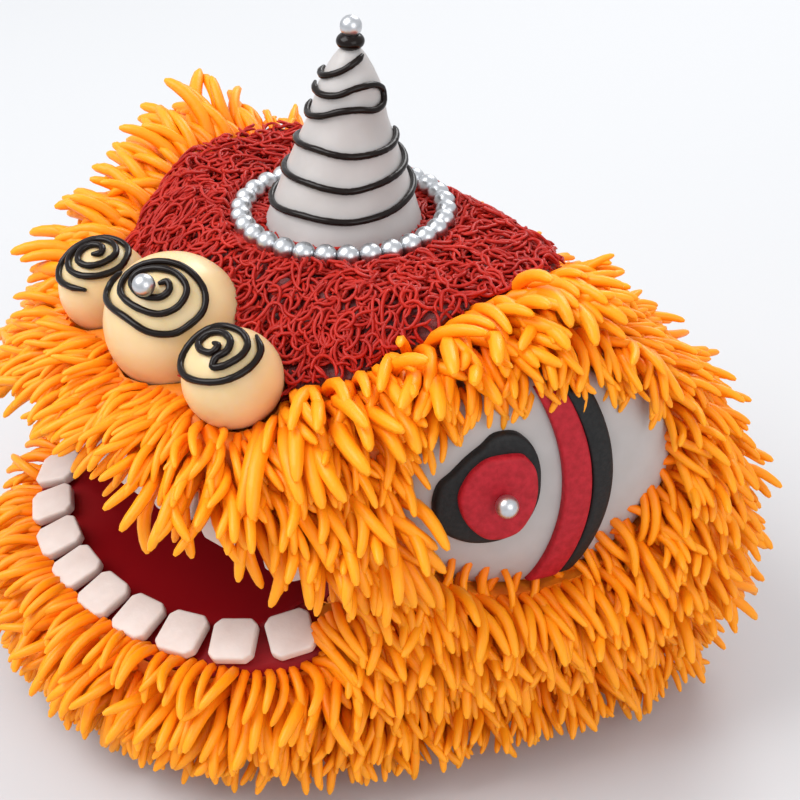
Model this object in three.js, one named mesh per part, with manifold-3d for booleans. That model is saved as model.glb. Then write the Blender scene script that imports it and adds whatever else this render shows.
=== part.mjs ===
// The head of a lion from a lion dance, sculpted as a small celebration cake: two carved tiers of cake
// with a mouth hollowed between them, piped fur in locks, a red piped forehead, fondant eyes and teeth,
// a fondant horn and silver sugar pearls. Millimetres, +Z up. The lion looks along -Y and the cake
// stands on the plane z = 0.
import * as THREE from "three";
import { mergeVertices } from "three/addons/utils/BufferGeometryUtils.js";
import Module from "manifold-3d";

const wasm = await Module();
wasm.setup();

// Driving dimensions
const gap = 0.3; // clearance between pieces that touch
const cakeSides = 24; // facets round a tier of cake
const pearlRadius = 2.05;
const coatThickness = 1.8; // red icing under the forehead's piped strings
const furBed = 2.6; // bed of icing that the locks of fur are piped on
const furSides = 34; // places round a tier where a lock's tip or the valley beside it stands
const liningWall = 2.2; // rolled fondant in the mouth
const lineRadius = 0.65; // a piped line of chocolate
const inlayThickness = 1.2; // each fondant shape on an eye

// The upper tier. Each row is one level of the carved cake: its height, its half width and the y at
// which it is widest, and the y of its front and of its back.
const headLevels = [
  { z: 27.3, halfWidth: 71, widestY: 26, front: -58, back: 45 },
  { z: 50, halfWidth: 71, widestY: 26, front: -60, back: 46 },
  { z: 63, halfWidth: 68, widestY: 23, front: -60, back: 44 },
  { z: 70, halfWidth: 64, widestY: 20, front: -57, back: 40 },
  { z: 76, halfWidth: 59, widestY: 12, front: -38, back: 33 },
  { z: 83, halfWidth: 53, widestY: 6, front: -27, back: 25 },
  { z: 86, halfWidth: 48, widestY: 3, front: -22, back: 21 },
];

// The lower tier: the jaw, which is also the foot that the cake stands on.
const jawLevels = [
  { z: 0, halfWidth: 62, widestY: 23, front: -58, back: 42 },
  { z: 12, halfWidth: 68, widestY: 23, front: -65, back: 45 },
  { z: 27, halfWidth: 67, widestY: 23, front: -66, back: 45 },
];

// A tier's outline is rounder than square by its power, and narrows towards the front by a share of its
// width.
const outline = { power: 2.6, taper: 0.26 };

// The hollow of the mouth, and the lips round it that carry the teeth. Each lip follows an arch, half
// an ellipse in plan, and rises towards the corners of the mouth.
const mouth = { x: 0, y: -44, z: 44.4, halfWidth: 43, halfDepth: 36, halfHeight: 18.4 };
const lowerLip = {
  halfWidth: 40,
  depth: 25.6,
  backY: -34.5,
  middleZ: 25.6,
  cornerRise: 6.3,
  reach: 84,
  width: 11,
  thickness: 4,
  slope: 20,
};
const upperLip = {
  halfWidth: 36.5,
  depth: 20,
  backY: -34.5,
  middleZ: 61.5,
  cornerRise: -17,
  reach: 80,
  width: 9.4,
  thickness: 3,
  slope: 90,
};
const lipSteps = 12; // straight lengths along a lip
const toothRoom = 9; // open height over the face of a lip
const roomReach = 8; // degrees that the teeth's room runs on past each end of a lip
const toothLift = 0.75; // a flat tooth stands this far off the curved face behind it
const archParts = 20; // short steps that a tooth's place is measured out in

// Teeth: each row's number, the angle of its front tooth and how many stand to that tooth's right.
const tooth = { width: 8.4, height: 8.6, thickness: 2.2, corner: 1.3 };
const lowerTeeth = { count: 10, front: 4, toRight: 5, pitch: 10.3 };
const upperTeeth = { count: 9, front: 1, toRight: 4, pitch: 9.7 };

// The left eye: its centre, how far it looks forward from sideways, and its domed button of white fondant.
const eye = {
  x: 58,
  y: -4.4,
  z: 60,
  forward: 22,
  halfWidth: 26.5,
  halfHeight: 22,
  bulge: 5,
  depth: 7,
  sides: 20,
};

// The forehead's red field: its half width at each y.
const foreheadRows = [
  { y: -45, halfWidth: 20 },
  { y: -38, halfWidth: 27 },
  { y: -28, halfWidth: 34 },
  { y: -14, halfWidth: 40.5 },
  { y: 0, halfWidth: 43 },
  { y: 13, halfWidth: 42 },
  { y: 23, halfWidth: 37 },
  { y: 29, halfWidth: 27 },
];

// The horn: its radius at each height above its foot. It leans a little towards the lion's back.
const hornRows = [
  { height: 0, radius: 15 },
  { height: 7, radius: 12.6 },
  { height: 13.5, radius: 10 },
  { height: 20, radius: 7.5 },
  { height: 26.5, radius: 5.8 },
  { height: 29.5, radius: 4.4 },
  { height: 32, radius: 2.9 },
  { height: 33.2, radius: 1.8 },
];
const hornSides = 16;
const hornLean = 3.8; // degrees
const knob = { radius: 2.65, halfHeight: 1.6, height: 34.3 }; // a blob of chocolate over the horn's tip
const hornPearlHeight = 37.2;
const pearlRing = { count: 30, lift: 1.6, sides: 10 };

// Sections along each pearl of the ring, from where it touches the pearl before it: the place along it
// and its radius, both as a share of a pearl's radius.
const pearlSections = [
  { along: -1, radius: 0.32 },
  { along: -0.45, radius: 0.96 },
  { along: 0.45, radius: 0.96 },
];

// Balls of white chocolate on the nose.
const noseBalls = {
  middle: { x: 0, y: -39.3, z: 79.2, radius: 12.9 },
  left: { x: 22, y: -42, z: 78.6, radius: 8.9 },
  right: { x: -22.6, y: -40.2, z: 77.4, radius: 8.9 },
};
const noseTilt = 26; // the piped swirls look this far forward from straight up
const nosePearlPlace = [3.8, -1.8];

// The swirls piped on the nose balls, from the inside out: places across (x) and along (y) a ball, seen
// straight down on its swirl.
const swirls = {
  middle: [
    [4.4, 0.2], [5.2, 1.6], [6.6, 0.6], [6.2, -1.6], [3.4, -3.2], [0.2, -2.8], [-1, -0.8],
    [0.8, 1.8], [4.6, 3.9], [8, 3.1], [9.2, -0.4], [7.6, -3.8], [3.4, -5.4], [-1, -5],
    [-3, -2.4], [-2.2, 1], [0.8, 4.2], [4.6, 6], [8.6, 5.6], [11, 3.2], [11.6, -0.3],
    [10.6, -4.2], [7.4, -7], [2.6, -7.7], [-2.6, -7.6], [-6.4, -6], [-7.6, -3.6], [-6.2, -1.4],
  ],
  left: [
    [0.3, 0.4], [1.7, 0.5], [1.6, -1.2], [-0.6, -1.8], [-2.7, -0.8], [-2.6, 1.6], [-0.4, 3],
    [2.2, 2.7], [3.5, 0.8], [3, -1.4], [3.6, -2.8], [5, -1.2], [5.5, 1.8], [4.3, 4.3],
    [1.6, 5.4], [-1.6, 4.8], [-4.6, 3.4], [-6.2, 1], [-6.6, -2], [-5, -5], [-1.6, -6.5],
    [2.2, -6], [5.4, -4], [7.1, -1], [7.2, 2.4], [5.6, 5.4], [2.6, 7],
  ],
  right: [
    [1.6, 1], [2.6, 2.4], [1.2, 3.6], [-0.8, 2.6], [-1.2, 0.2], [0.6, -1.6], [3.2, -1],
    [4.6, 1.4], [4, 4.4], [1.2, 5.8], [-2, 4.8], [-3.4, 1.6], [-2.8, -1.8], [-0.2, -3.7],
    [3.2, -3.3], [5.8, -1], [6.6, 2.4], [5.2, 5.4], [2.4, 7.4], [-1.6, 7], [-4.6, 4.2],
    [-5.6, 0.4], [-5.4, -3.4], [-2.2, -6], [2, -6], [5.2, -4.6],
  ],
};
const swirlSteps = 42; // straight lengths along a swirl

// Rows of locks up each tier: the height at which a row hangs from its bed, and how far its tips stand
// out from the bed and drop below that height. On the nape they lie flatter, by a nape's out and drop.
const headLocks = [
  { z: 36, out: 8, drop: 5 },
  { z: 45, out: 8, drop: 4.5 },
  { z: 54, out: 8.5, drop: 4.5 },
  { z: 63, out: 9, drop: 4 },
  { z: 70, out: 9.5, drop: 2 },
  { z: 76, out: 10.5, drop: 0.5, napeOut: 6, napeDrop: 2 },
  { z: 83, out: 10.5, drop: -2, napeOut: 5, napeDrop: 1.5 },
  { z: 86, out: 12.5, drop: -6, napeOut: 4, napeDrop: 0 },
];
const jawLocks = [
  { z: 8, out: 8, drop: 5.5 },
  { z: 16, out: 11, drop: 5 },
  { z: 23.5, out: 12, drop: 5 },
];
const valley = { out: 1.4, drop: -1.2 }; // between two locks
const beard = { low: 2.4, high: 26.6 };
const muzzleBackY = -41; // the muzzle's fur is in front of this, the brows' behind
const napeFrontY = 29.6; // the nape's fur is behind this
const up = new THREE.Vector3(0, 0, 1);
const radians = THREE.MathUtils.degToRad;
const vector = (x, y, z) => new THREE.Vector3(x, y, z);

// A closed geometry as a solid that can be joined and cut.
function solidOf(geometry) {
  const bare = geometry.index ? geometry.toNonIndexed() : geometry.clone();
  bare.deleteAttribute("normal");
  bare.deleteAttribute("uv");
  const merged = mergeVertices(bare, 1e-4);
  const vertProperties = new Float32Array(merged.attributes.position.array);
  const triVerts = new Uint32Array(merged.index.array);
  return new wasm.Manifold(new wasm.Mesh({ numProp: 3, vertProperties, triVerts }));
}

// The largest connected body of a solid as a geometry, without the crumbs that its neighbours' cuts leave.
function mainBody(solid) {
  const mesh = solid.getMesh();
  const index = mesh.triVerts;
  const parent = Array.from({ length: mesh.vertProperties.length / 3 }, (_, vertex) => vertex);
  const find = (vertex) => (parent[vertex] === vertex ? vertex : (parent[vertex] = find(parent[vertex])));
  for (let i = 0; i < index.length; i += 3) {
    parent[find(index[i])] = find(index[i + 1]);
    parent[find(index[i + 1])] = find(index[i + 2]);
  }
  const bodies = new Map();
  for (let i = 0; i < index.length; i += 3) {
    const body = find(index[i]);
    bodies.set(body, [...(bodies.get(body) ?? []), index[i], index[i + 1], index[i + 2]]);
  }
  const largest = [...bodies.values()].reduce((a, b) => (b.length > a.length ? b : a));
  const geometry = new THREE.BufferGeometry();
  geometry.setAttribute("position", new THREE.BufferAttribute(new Float32Array(mesh.vertProperties), 3));
  geometry.setIndex(largest);
  return geometry;
}

const joined = (solids) => solids.reduce((a, b) => a.add(b));

function mirrored(geometry) {
  const copy = geometry.clone().scale(-1, 1, 1);
  const index = copy.index.array;
  for (let i = 0; i < index.length; i += 3) {
    [index[i + 1], index[i + 2]] = [index[i + 2], index[i + 1]];
  }
  return copy;
}

// A closed skin over rings of points, each with the same number of points, all turning anticlockwise as
// seen from the last ring. The ends are capped, or the last ring joins the first.
function loft(rings, isLoop = false) {
  const count = rings[0].length;
  const faces = [];
  const bands = isLoop ? rings.length : rings.length - 1;
  for (let ring = 0; ring < bands; ring++) {
    const next = (ring + 1) % rings.length;
    for (let i = 0; i < count; i++) {
      const [a, b] = [ring * count + i, ring * count + ((i + 1) % count)];
      const [c, d] = [next * count + ((i + 1) % count), next * count + i];
      faces.push(a, b, c, a, c, d);
    }
  }
  const last = (rings.length - 1) * count;
  for (let i = 1; i + 1 < count && !isLoop; i++) {
    faces.push(0, i + 1, i);
    faces.push(last, last + i, last + i + 1);
  }
  const geometry = new THREE.BufferGeometry().setFromPoints(rings.flat());
  return geometry.setIndex(faces);
}

function ellipsoid(centre, radii, around, down) {
  const geometry = new THREE.SphereGeometry(1, around, down).rotateX(Math.PI / 2);
  return geometry.scale(radii.x, radii.y, radii.z).translate(centre.x, centre.y, centre.z);
}
const ball = (centre, radius, around, down) => ellipsoid(centre, vector(radius, radius, radius), around, down);
const pearl = (centre, grow = 0) => ball(centre, pearlRadius + grow, 10, 6);

function block(low, high) {
  const geometry = new THREE.BoxGeometry(high[0] - low[0], high[1] - low[1], high[2] - low[2]);
  geometry.translate((low[0] + high[0]) / 2, (low[1] + high[1]) / 2, (low[2] + high[2]) / 2);
  return solidOf(geometry);
}

// The tiers of cake

// One point of a tier's outline. The angle runs from the lion's left (0) to its front (-90) or its back
// (90).
function outlinePoint(level, angle, grow = 0) {
  const [cos, sin] = [Math.cos(radians(angle)), Math.sin(radians(angle))];
  const radius = (Math.abs(cos) ** outline.power + Math.abs(sin) ** outline.power) ** (-1 / outline.power);
  const [across, along] = [cos * radius, sin * radius];
  const reach = along < 0 ? level.widestY - level.front : level.back - level.widestY;
  const narrowed = 1 + outline.taper * Math.min(0, along);
  return vector(
    across * (level.halfWidth * narrowed + grow),
    level.widestY + along * (reach + grow),
    level.z,
  );
}

// A tier, grown by one allowance on its sides and by others above and below.
function tier(levels, grow = 0, above = grow, below = 0) {
  const rings = levels.map((level, row) => {
    const rise = (row === levels.length - 1 ? above : 0) - (row === 0 ? below : 0);
    return Array.from({ length: cakeSides }, (_, i) =>
      outlinePoint(level, (360 * i) / cakeSides, grow).add(vector(0, 0, rise)),
    );
  });
  return solidOf(loft(rings));
}

// The mouth

function mouthEllipsoid(grow) {
  const radii = vector(mouth.halfWidth + grow, mouth.halfDepth + grow, mouth.halfHeight + grow);
  return solidOf(ellipsoid(vector(mouth.x, mouth.y, mouth.z), radii, 14, 8));
}

// The arch's point at an angle from the front of the mouth, with the directions along it, out of it and up.
function archFrame(lip, angle) {
  const [across, forward] = [Math.sin(radians(angle)), Math.cos(radians(angle))];
  const z = lip.middleZ + lip.cornerRise * (1 - forward);
  const point = vector(across * lip.halfWidth, lip.backY - forward * lip.depth, z);
  const along = vector(forward * lip.halfWidth, across * lip.depth, across * lip.cornerRise).normalize();
  const outward = vector(along.y, -along.x, 0).normalize();
  return { point, along, outward, upward: outward.clone().cross(along) };
}

// A bar that follows a lip's arch, turned down by the lip's slope: its section's corners are places
// across the lip and out from its middle, and each end is pushed on by an allowance.
function lipBar(lip, section, grow = 0) {
  const slope = radians(lip.slope);
  const rings = Array.from({ length: lipSteps + 1 }, (_, i) => {
    const { point, outward, upward } = archFrame(lip, (lip.reach + grow) * (1 - (2 * i) / lipSteps));
    const wide = outward.clone().multiplyScalar(Math.cos(slope)).addScaledVector(upward, -Math.sin(slope));
    const thick = outward.clone().multiplyScalar(Math.sin(slope)).addScaledVector(upward, Math.cos(slope));
    return section.map((corner) =>
      point.clone().addScaledVector(wide, corner.across).addScaledVector(thick, corner.through),
    );
  });
  return solidOf(loft(rings));
}

// The lip itself: a flat six-sided roll of fondant.
function lipRoll(lip, grow = 0) {
  const across = lip.width / 2 + grow;
  const through = lip.thickness / 2 + grow;
  const section = [
    { across, through: 0 },
    { across: 0.8 * across, through },
    { across: -0.8 * across, through },
    { across: -across, through: 0 },
    { across: -0.8 * across, through: -through },
    { across: 0.8 * across, through: -through },
  ];
  return lipBar(lip, section, grow);
}

// The air over a lip's face, in which its teeth stand.
function lipRoom(lip, grow = 0) {
  const across = Math.max(lip.width, tooth.height) / 2 + grow + 2 * gap;
  const [low, high] = [lip.thickness / 2, lip.thickness / 2 + toothRoom];
  const section = [
    { across, through: low },
    { across, through: high },
    { across: -across, through: high },
    { across: -across, through: low },
  ];
  return lipBar(lip, section, grow + roomReach);
}

// The angles of a row's teeth, which stand a pitch apart along the arch.
function teethAngles(lip, row) {
  const step = (angle, distance) => {
    const speed = Math.hypot(Math.cos(radians(angle)) * lip.halfWidth, Math.sin(radians(angle)) * lip.depth);
    return angle + THREE.MathUtils.radToDeg(distance / speed);
  };
  return Array.from({ length: row.count }, (_, i) => {
    const distance = (i - row.toRight) * row.pitch;
    let angle = row.front;
    for (let part = 0; part < archParts; part++) {
      angle = step(angle, distance / archParts);
    }
    return angle;
  });
}

// A tooth laid on the face of its lip, which looks up by an angle from looking outwards.
function placedTooth(lip, angle) {
  const [right, top, corner] = [tooth.width / 2, tooth.height / 2, tooth.corner];
  const corners = [
    [corner - right, -top],
    [right - corner, -top],
    [right, corner - top],
    [right, top - corner],
    [right - corner, top],
    [corner - right, top],
    [-right, top - corner],
    [-right, corner - top],
  ].map(([x, y]) => new THREE.Vector2(x, y));
  const geometry = new THREE.ExtrudeGeometry(new THREE.Shape(corners), {
    depth: tooth.thickness,
    bevelEnabled: false,
  });
  const lean = radians(90 - lip.slope);
  const { point, along, outward, upward } = archFrame(lip, angle);
  const face = outward.clone().multiplyScalar(Math.cos(lean)).addScaledVector(upward, Math.sin(lean));
  const rise = outward.clone().multiplyScalar(-Math.sin(lean)).addScaledVector(upward, Math.cos(lean));
  const place = new THREE.Matrix4().makeBasis(along, rise, face);
  place.setPosition(point.addScaledVector(face, lip.thickness / 2 + toothLift));
  return geometry.applyMatrix4(place);
}

// The eyes: everything on one is drawn flat, u towards the lion's back and v up, and raised along its
// own axis.
const eyeMatrix = new THREE.Matrix4()
  .makeBasis(
    vector(Math.sin(radians(eye.forward)), Math.cos(radians(eye.forward)), 0),
    up,
    vector(Math.cos(radians(eye.forward)), -Math.sin(radians(eye.forward)), 0),
  )
  .setPosition(eye.x, eye.y, eye.z);

function eyeHeight(u, v) {
  const off = (u / eye.halfWidth) ** 2 + (v / eye.halfHeight) ** 2;
  return eye.bulge * Math.sqrt(Math.max(0, 1 - off));
}

function eyeRing(share, w, grow = 0) {
  return Array.from({ length: eye.sides }, (_, i) => {
    const a = (2 * Math.PI * i) / eye.sides;
    const [u, v] = [Math.cos(a) * (eye.halfWidth + grow), Math.sin(a) * (eye.halfHeight + grow)];
    return vector(share * u, share * v, w);
  });
}

// The straight hole for an eye through the fur and into the cake.
function eyeHole(grow) {
  const [floor, mouthOfHole] = [-eye.depth - 1, 30];
  return solidOf(loft([eyeRing(1, floor, grow), eyeRing(1, mouthOfHole, grow)]).applyMatrix4(eyeMatrix));
}

// The button: a straight wall sunk in the cake under a dome of four rings.
function eyeButton() {
  const domed = [0, 24, 48, 70].map((angle) =>
    eyeRing(Math.cos(radians(angle)), eye.bulge * Math.sin(radians(angle))),
  );
  return loft([eyeRing(1, -eye.depth), ...domed]).applyMatrix4(eyeMatrix);
}

// A fondant shape between an eye's dome and its own thickness, from rows of (u, v) points across it.
function inlay(rows, lift) {
  const rings = rows.map((row) => {
    const at = (raise) => row.map(({ u, v }) => vector(u, v, eyeHeight(u, v) + lift + raise));
    return [...at(0), ...at(inlayThickness).reverse()];
  });
  return loft(rings).applyMatrix4(eyeMatrix);
}

// A band down the eye: rows up it, each across from its outer edge to its inner one. An edge is given
// by its u at the bottom, the middle and the top.
function bandRows({ inner, outer, halfHeight }, count = 8) {
  const edgeAt = (edge, height) => {
    const bow = (edge.top + edge.bottom) / 2 - edge.middle;
    return edge.middle + (height * (edge.top - edge.bottom)) / 2 + height ** 2 * bow;
  };
  return Array.from({ length: count + 1 }, (_, i) => {
    const height = (2 * i) / count - 1;
    return [0, 0.5, 1].map((share) => ({
      u: THREE.MathUtils.lerp(edgeAt(outer, height), edgeAt(inner, height), share),
      v: height * halfHeight,
    }));
  });
}

// The rows across a shape that is given by its two edges at each height.
const leafRows = (rows) =>
  rows.map(({ v, front, back }) => [back, (front + back) / 2, front].map((u) => ({ u, v })));

const firstLift = gap + 0.1; // a little over the gap, for flat facets on a curved dome
const secondLift = firstLift + inlayThickness + gap;
const redBand = {
  inner: { bottom: -1.2, middle: 3.7, top: -1.5 },
  outer: { bottom: 3.6, middle: 8.6, top: 2.7 },
  halfHeight: 20.4,
};
const blackBand = {
  inner: { bottom: 4.5, middle: 9.2, top: 3.6 },
  outer: { bottom: 7, middle: 13.1, top: 8.2 },
  halfHeight: 19.7,
};

// The pupil and the iris: the edge towards the lion's front and the one towards its back at each height.
const pupil = [
  { v: -7.8, front: -11.5, back: -8 },
  { v: -6.7, front: -15, back: -5 },
  { v: -4, front: -18.5, back: -2.6 },
  { v: 0.3, front: -19.8, back: -1 },
  { v: 4.8, front: -19, back: -0.8 },
  { v: 7.3, front: -16.5, back: -1.1 },
  { v: 9.8, front: -14, back: -1.9 },
  { v: 11.8, front: -11.3, back: -3.2 },
  { v: 13.6, front: -9, back: -5.5 },
];
const iris = [
  { v: -6.2, front: -9.8, back: -7.2 },
  { v: -5.1, front: -12, back: -4.8 },
  { v: -2.2, front: -14.4, back: -3 },
  { v: 0.8, front: -15.6, back: -2.1 },
  { v: 3.8, front: -15.8, back: -1.9 },
  { v: 6.8, front: -14.5, back: -2.3 },
  { v: 8.8, front: -12.8, back: -3.4 },
  { v: 10.2, front: -10.2, back: -5.2 },
];
const eyePearl = { u: -8.6, v: 2.7 };

// The nose, the forehead and the horn

const noseSeat = 0.8; // room round a nose ball in the icing and the fur
const noseCentre = (nose) => vector(nose.x, nose.y, nose.z);
const nosesClear = (side) =>
  joined(
    Object.values(noseBalls).map(({ x, y, z, radius }) =>
      solidOf(ball(vector(side * x, y, z), radius + noseSeat, 12, 7)),
    ),
  );
const noseClear = nosesClear(1);

// The upright prism over the forehead's red field.
function foreheadPrism(grow = 0) {
  const left = foreheadRows.map((row) => new THREE.Vector2(row.halfWidth + grow, row.y));
  left[0].y -= grow;
  left[left.length - 1].y += grow;
  const right = left.map((point) => new THREE.Vector2(-point.x, point.y)).reverse();
  const shape = new THREE.Shape([...left, ...right]);
  const [low, height] = [60, 50]; // from under the slope of the forehead to over its top
  const geometry = new THREE.ExtrudeGeometry(shape, { depth: height, bevelEnabled: false });
  return solidOf(geometry.translate(0, 0, low));
}

const hornFootZ = headLevels[headLevels.length - 1].z + coatThickness + gap;
const hornHeight = hornRows[hornRows.length - 1].height;

// The horn's shape, grown by an allowance.
function hornGeometry(grow = 0) {
  const profile = hornRows.map((row) => new THREE.Vector2(row.radius + grow, row.height));
  profile[profile.length - 1].y += grow;
  profile.unshift(new THREE.Vector2(0, 0));
  profile.push(new THREE.Vector2(0, hornHeight + grow));
  const leaned = new THREE.Matrix4().makeShear(0, 0, 0, 0, 0, Math.tan(radians(hornLean)));
  const geometry = new THREE.LatheGeometry(profile, hornSides).rotateX(Math.PI / 2);
  return geometry.applyMatrix4(leaned).translate(0, 0, hornFootZ);
}

// The horn's axis at a height above its foot.
const hornAxis = (height) => vector(0, height * Math.tan(radians(hornLean)), hornFootZ + height);

function hornRadius(height) {
  const upper = Math.max(1, hornRows.findIndex((row) => row.height >= height));
  const [a, b] = [hornRows[upper - 1], hornRows[upper]];
  return THREE.MathUtils.mapLinear(height, a.height, b.height, a.radius, b.radius);
}

const lineLift = gap + 0.15; // between a piped line and the facets under it
const lineStep = 22.5; // degrees between the points that the long line round the horn is drawn through

// A line of piping with a square section set on edge, through points in order.
function piping(points, steps) {
  const section = new THREE.Shape([
    new THREE.Vector2(lineRadius, 0),
    new THREE.Vector2(0, lineRadius),
    new THREE.Vector2(-lineRadius, 0),
    new THREE.Vector2(0, -lineRadius),
  ]);
  const extrudePath = new THREE.CatmullRomCurve3(points);
  return new THREE.ExtrudeGeometry(section, { extrudePath, steps, bevelEnabled: false });
}

// A piped line round the horn, through rows of its turn from the lion's left in degrees and its height.
function hornLine(rows, steps) {
  const points = rows.map(({ turn, height }) => {
    const a = radians(turn);
    const reach = hornRadius(height) + lineRadius + lineLift;
    return hornAxis(height).add(vector(reach * Math.cos(a), reach * Math.sin(a), 0));
  });
  return piping(points, steps);
}

// The long line winds two and a half times round the horn from its foot up.
const longLine = [
  { turn: -155, height: 5 },
  { turn: -118, height: 4.6 },
  { turn: -74, height: 5.6 },
  { turn: -30, height: 5.2 },
  { turn: 5, height: 6 },
  { turn: 38, height: 7.2 },
  { turn: 180, height: 9.4 },
  { turn: 225, height: 10.4 },
  { turn: 280, height: 11.1 },
  { turn: 324, height: 10.4 },
  { turn: 365, height: 11.2 },
  { turn: 400, height: 11.8 },
  { turn: 540, height: 14.6 },
  { turn: 590, height: 16 },
  { turn: 640, height: 16.9 },
  { turn: 690, height: 16.1 },
  { turn: 740, height: 16.2 },
  { turn: 785, height: 17.2 },
];

// Rows at even turns along a line that is given by a few.
function evenRows(rows, step) {
  const made = [];
  let upper = 1;
  for (let turn = rows[0].turn; turn <= rows[rows.length - 1].turn; turn += step) {
    while (rows[upper].turn < turn) {
      upper++;
    }
    const [a, b] = [rows[upper - 1], rows[upper]];
    made.push({ turn, height: THREE.MathUtils.mapLinear(turn, a.turn, b.turn, a.height, b.height) });
  }
  return made;
}

const hairpinRows = [
  { turn: -150, height: 22.4 },
  { turn: -118, height: 21.5 },
  { turn: -84, height: 22.3 },
  { turn: -52, height: 23.7 },
  { turn: -24, height: 24 },
  { turn: 6, height: 23.4 },
  { turn: 30, height: 24 },
  { turn: 36, height: 26 },
  { turn: 12, height: 27.6 },
  { turn: -26, height: 27.6 },
  { turn: -61, height: 26.4 },
  { turn: -98, height: 26 },
  { turn: -138, height: 26.6 },
];
const topLineRows = [
  { turn: -155, height: 29 },
  { turn: -112, height: 28.7 },
  { turn: -68, height: 30 },
  { turn: -26, height: 31.6 },
  { turn: 14, height: 32.6 },
];

// The place on a nose ball at a reach from its centre, over a place of its swirl.
function onNose(nose, [x, y], reach) {
  const scale = reach / (nose.radius + lineRadius);
  const local = vector(x * scale, y * scale, Math.sqrt(reach ** 2 - (x ** 2 + y ** 2) * scale ** 2));
  return local.applyAxisAngle(vector(1, 0, 0), radians(noseTilt)).add(noseCentre(nose));
}

function noseSwirl(nose, places) {
  const reach = nose.radius + lineRadius + lineLift;
  return solidOf(piping(places.map((place) => onNose(nose, place, reach)), swirlSteps));
}

// The pearls round the horn's foot, each pressed against the next, as one string.
function pearlString() {
  const pitch = 360 / pearlRing.count;
  const reach = pearlRadius / Math.sin(radians(pitch / 2));
  const rings = [];
  for (let i = 0; i < pearlRing.count; i++) {
    for (const section of pearlSections) {
      const place = radians(pitch * (i + section.along / 2));
      const ring = [];
      for (let side = 0; side < pearlRing.sides; side++) {
        const turn = (2 * Math.PI * side) / pearlRing.sides;
        const out = reach + pearlRadius * section.radius * Math.cos(turn);
        const lift = pearlRing.lift + pearlRadius * section.radius * Math.sin(turn);
        ring.push(vector(out * Math.cos(place), out * Math.sin(place), hornFootZ + lift));
      }
      rings.push(ring.reverse());
    }
  }
  return loft(rings, true);
}

// The fur: rows of locks piped on a bed of icing, one body that is then cut into its parts

function levelAt(levels, z) {
  const upper = Math.max(1, levels.findIndex((level) => level.z >= z));
  const [a, b] = [levels[upper - 1], levels[upper]];
  const mix = (name) => THREE.MathUtils.mapLinear(z, a.z, b.z, a[name], b[name]);
  return {
    z,
    halfWidth: mix("halfWidth"),
    widestY: mix("widestY"),
    front: mix("front"),
    back: mix("back"),
  };
}

// How far a place round a tier is on the nape: 0 on the tier's sides and 1 at its back.
const napeShare = (angle) => THREE.MathUtils.smoothstep(Math.sin(radians(angle)), 0.35, 0.8);

// A tier in its fur. Every row of locks is a ring on the bed and, over it, a ring in which tips and
// valleys take turns, so that each lock is a spike that overlaps the row below.
function shaggyTier(levels, rows, low, high) {
  const ringAt = (z, lockAt) =>
    Array.from({ length: furSides }, (_, i) => {
      const angle = (360 * i) / furSides;
      const { out, drop, napeOut = out, napeDrop = drop } = lockAt(i);
      const reach = furBed + THREE.MathUtils.lerp(out, napeOut, napeShare(angle));
      const fall = THREE.MathUtils.lerp(drop, napeDrop, napeShare(angle));
      return outlinePoint(levelAt(levels, z), angle, reach).add(vector(0, 0, -fall));
    });
  const bed = () => ({ out: 0, drop: 0 });
  const rings = [ringAt(low, bed)];
  rows.forEach((row, number) => {
    rings.push(ringAt(row.z, bed));
    rings.push(ringAt(row.z, (i) => ((i + number) % 2 ? valley : row)));
  });
  const topLevel = levels[levels.length - 1].z;
  rings.push(ringAt(topLevel, () => ({ out: -1, drop: topLevel - high })));
  return solidOf(loft(rings));
}

const capRise = 3.6; // the fur's crest stands this far above the upper tier
const far = 130; // past the object on every side
const cheekInnerX = 16; // the cheeks' fur ends here, beside the mouth
const browInnerX = 8;
const under = 10; // below the cheeks' and the nape's fur

const headClear = tier(headLevels, gap);
const capZ = headLevels[headLevels.length - 1].z;
const headFur = shaggyTier(headLevels, headLocks, headLevels[0].z, capZ + capRise);
const fieldClear = foreheadPrism(gap);
const eyeClear = eyeHole(gap);
const mouthClear = joined([
  mouthEllipsoid(liningWall + gap),
  lipRoll(upperLip, gap),
  lipRoll(lowerLip, gap),
  lipRoom(upperLip),
  lipRoom(lowerLip),
]);

const furIn = (low, high) => headFur.intersect(block(low, high)).subtract(headClear);

// The brows are alike, so the left one is also clear of the balls as they'd be on the other side.
function browFur() {
  const fur = furIn([browInnerX, muzzleBackY + gap, eye.z + gap / 2], [far, napeFrontY - gap, far]);
  return fur.subtract(fieldClear).subtract(noseClear).subtract(nosesClear(-1)).subtract(eyeClear);
}

function cheekFur() {
  const fur = furIn([cheekInnerX, -far, under], [far, napeFrontY - gap, eye.z - gap / 2]);
  return fur.subtract(eyeClear).subtract(mouthClear);
}

function muzzleFur() {
  const fur = furIn([-far, -far, eye.z + gap / 2], [far, muzzleBackY, far]);
  return fur.subtract(fieldClear).subtract(noseClear).subtract(mouthClear);
}

function napeFur() {
  return furIn([-far, napeFrontY, under], [far, far, far]).subtract(fieldClear);
}

function beardFur() {
  const fur = shaggyTier(jawLevels, jawLocks, beard.low, beard.high);
  return fur.subtract(tier(jawLevels, gap, 5, 5)).subtract(mouthClear);
}

const colours = {
  cake: 0xf59a1c,
  fur: 0xf7941d,
  red: 0xa01818,
  mouth: 0x8e0b12,
  tooth: 0xefe6df,
  white: 0xe6e1dd,
  black: 0x151313,
  chocolate: 0x1d0f0c,
  cream: 0xf3dfb4,
  silver: 0xd5d9dd,
};
const icing = { roughness: 0.4, metalness: 0 };
const fondant = { roughness: 0.65, metalness: 0 };
const silverSugar = { roughness: 0.2, metalness: 0.9 };

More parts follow.
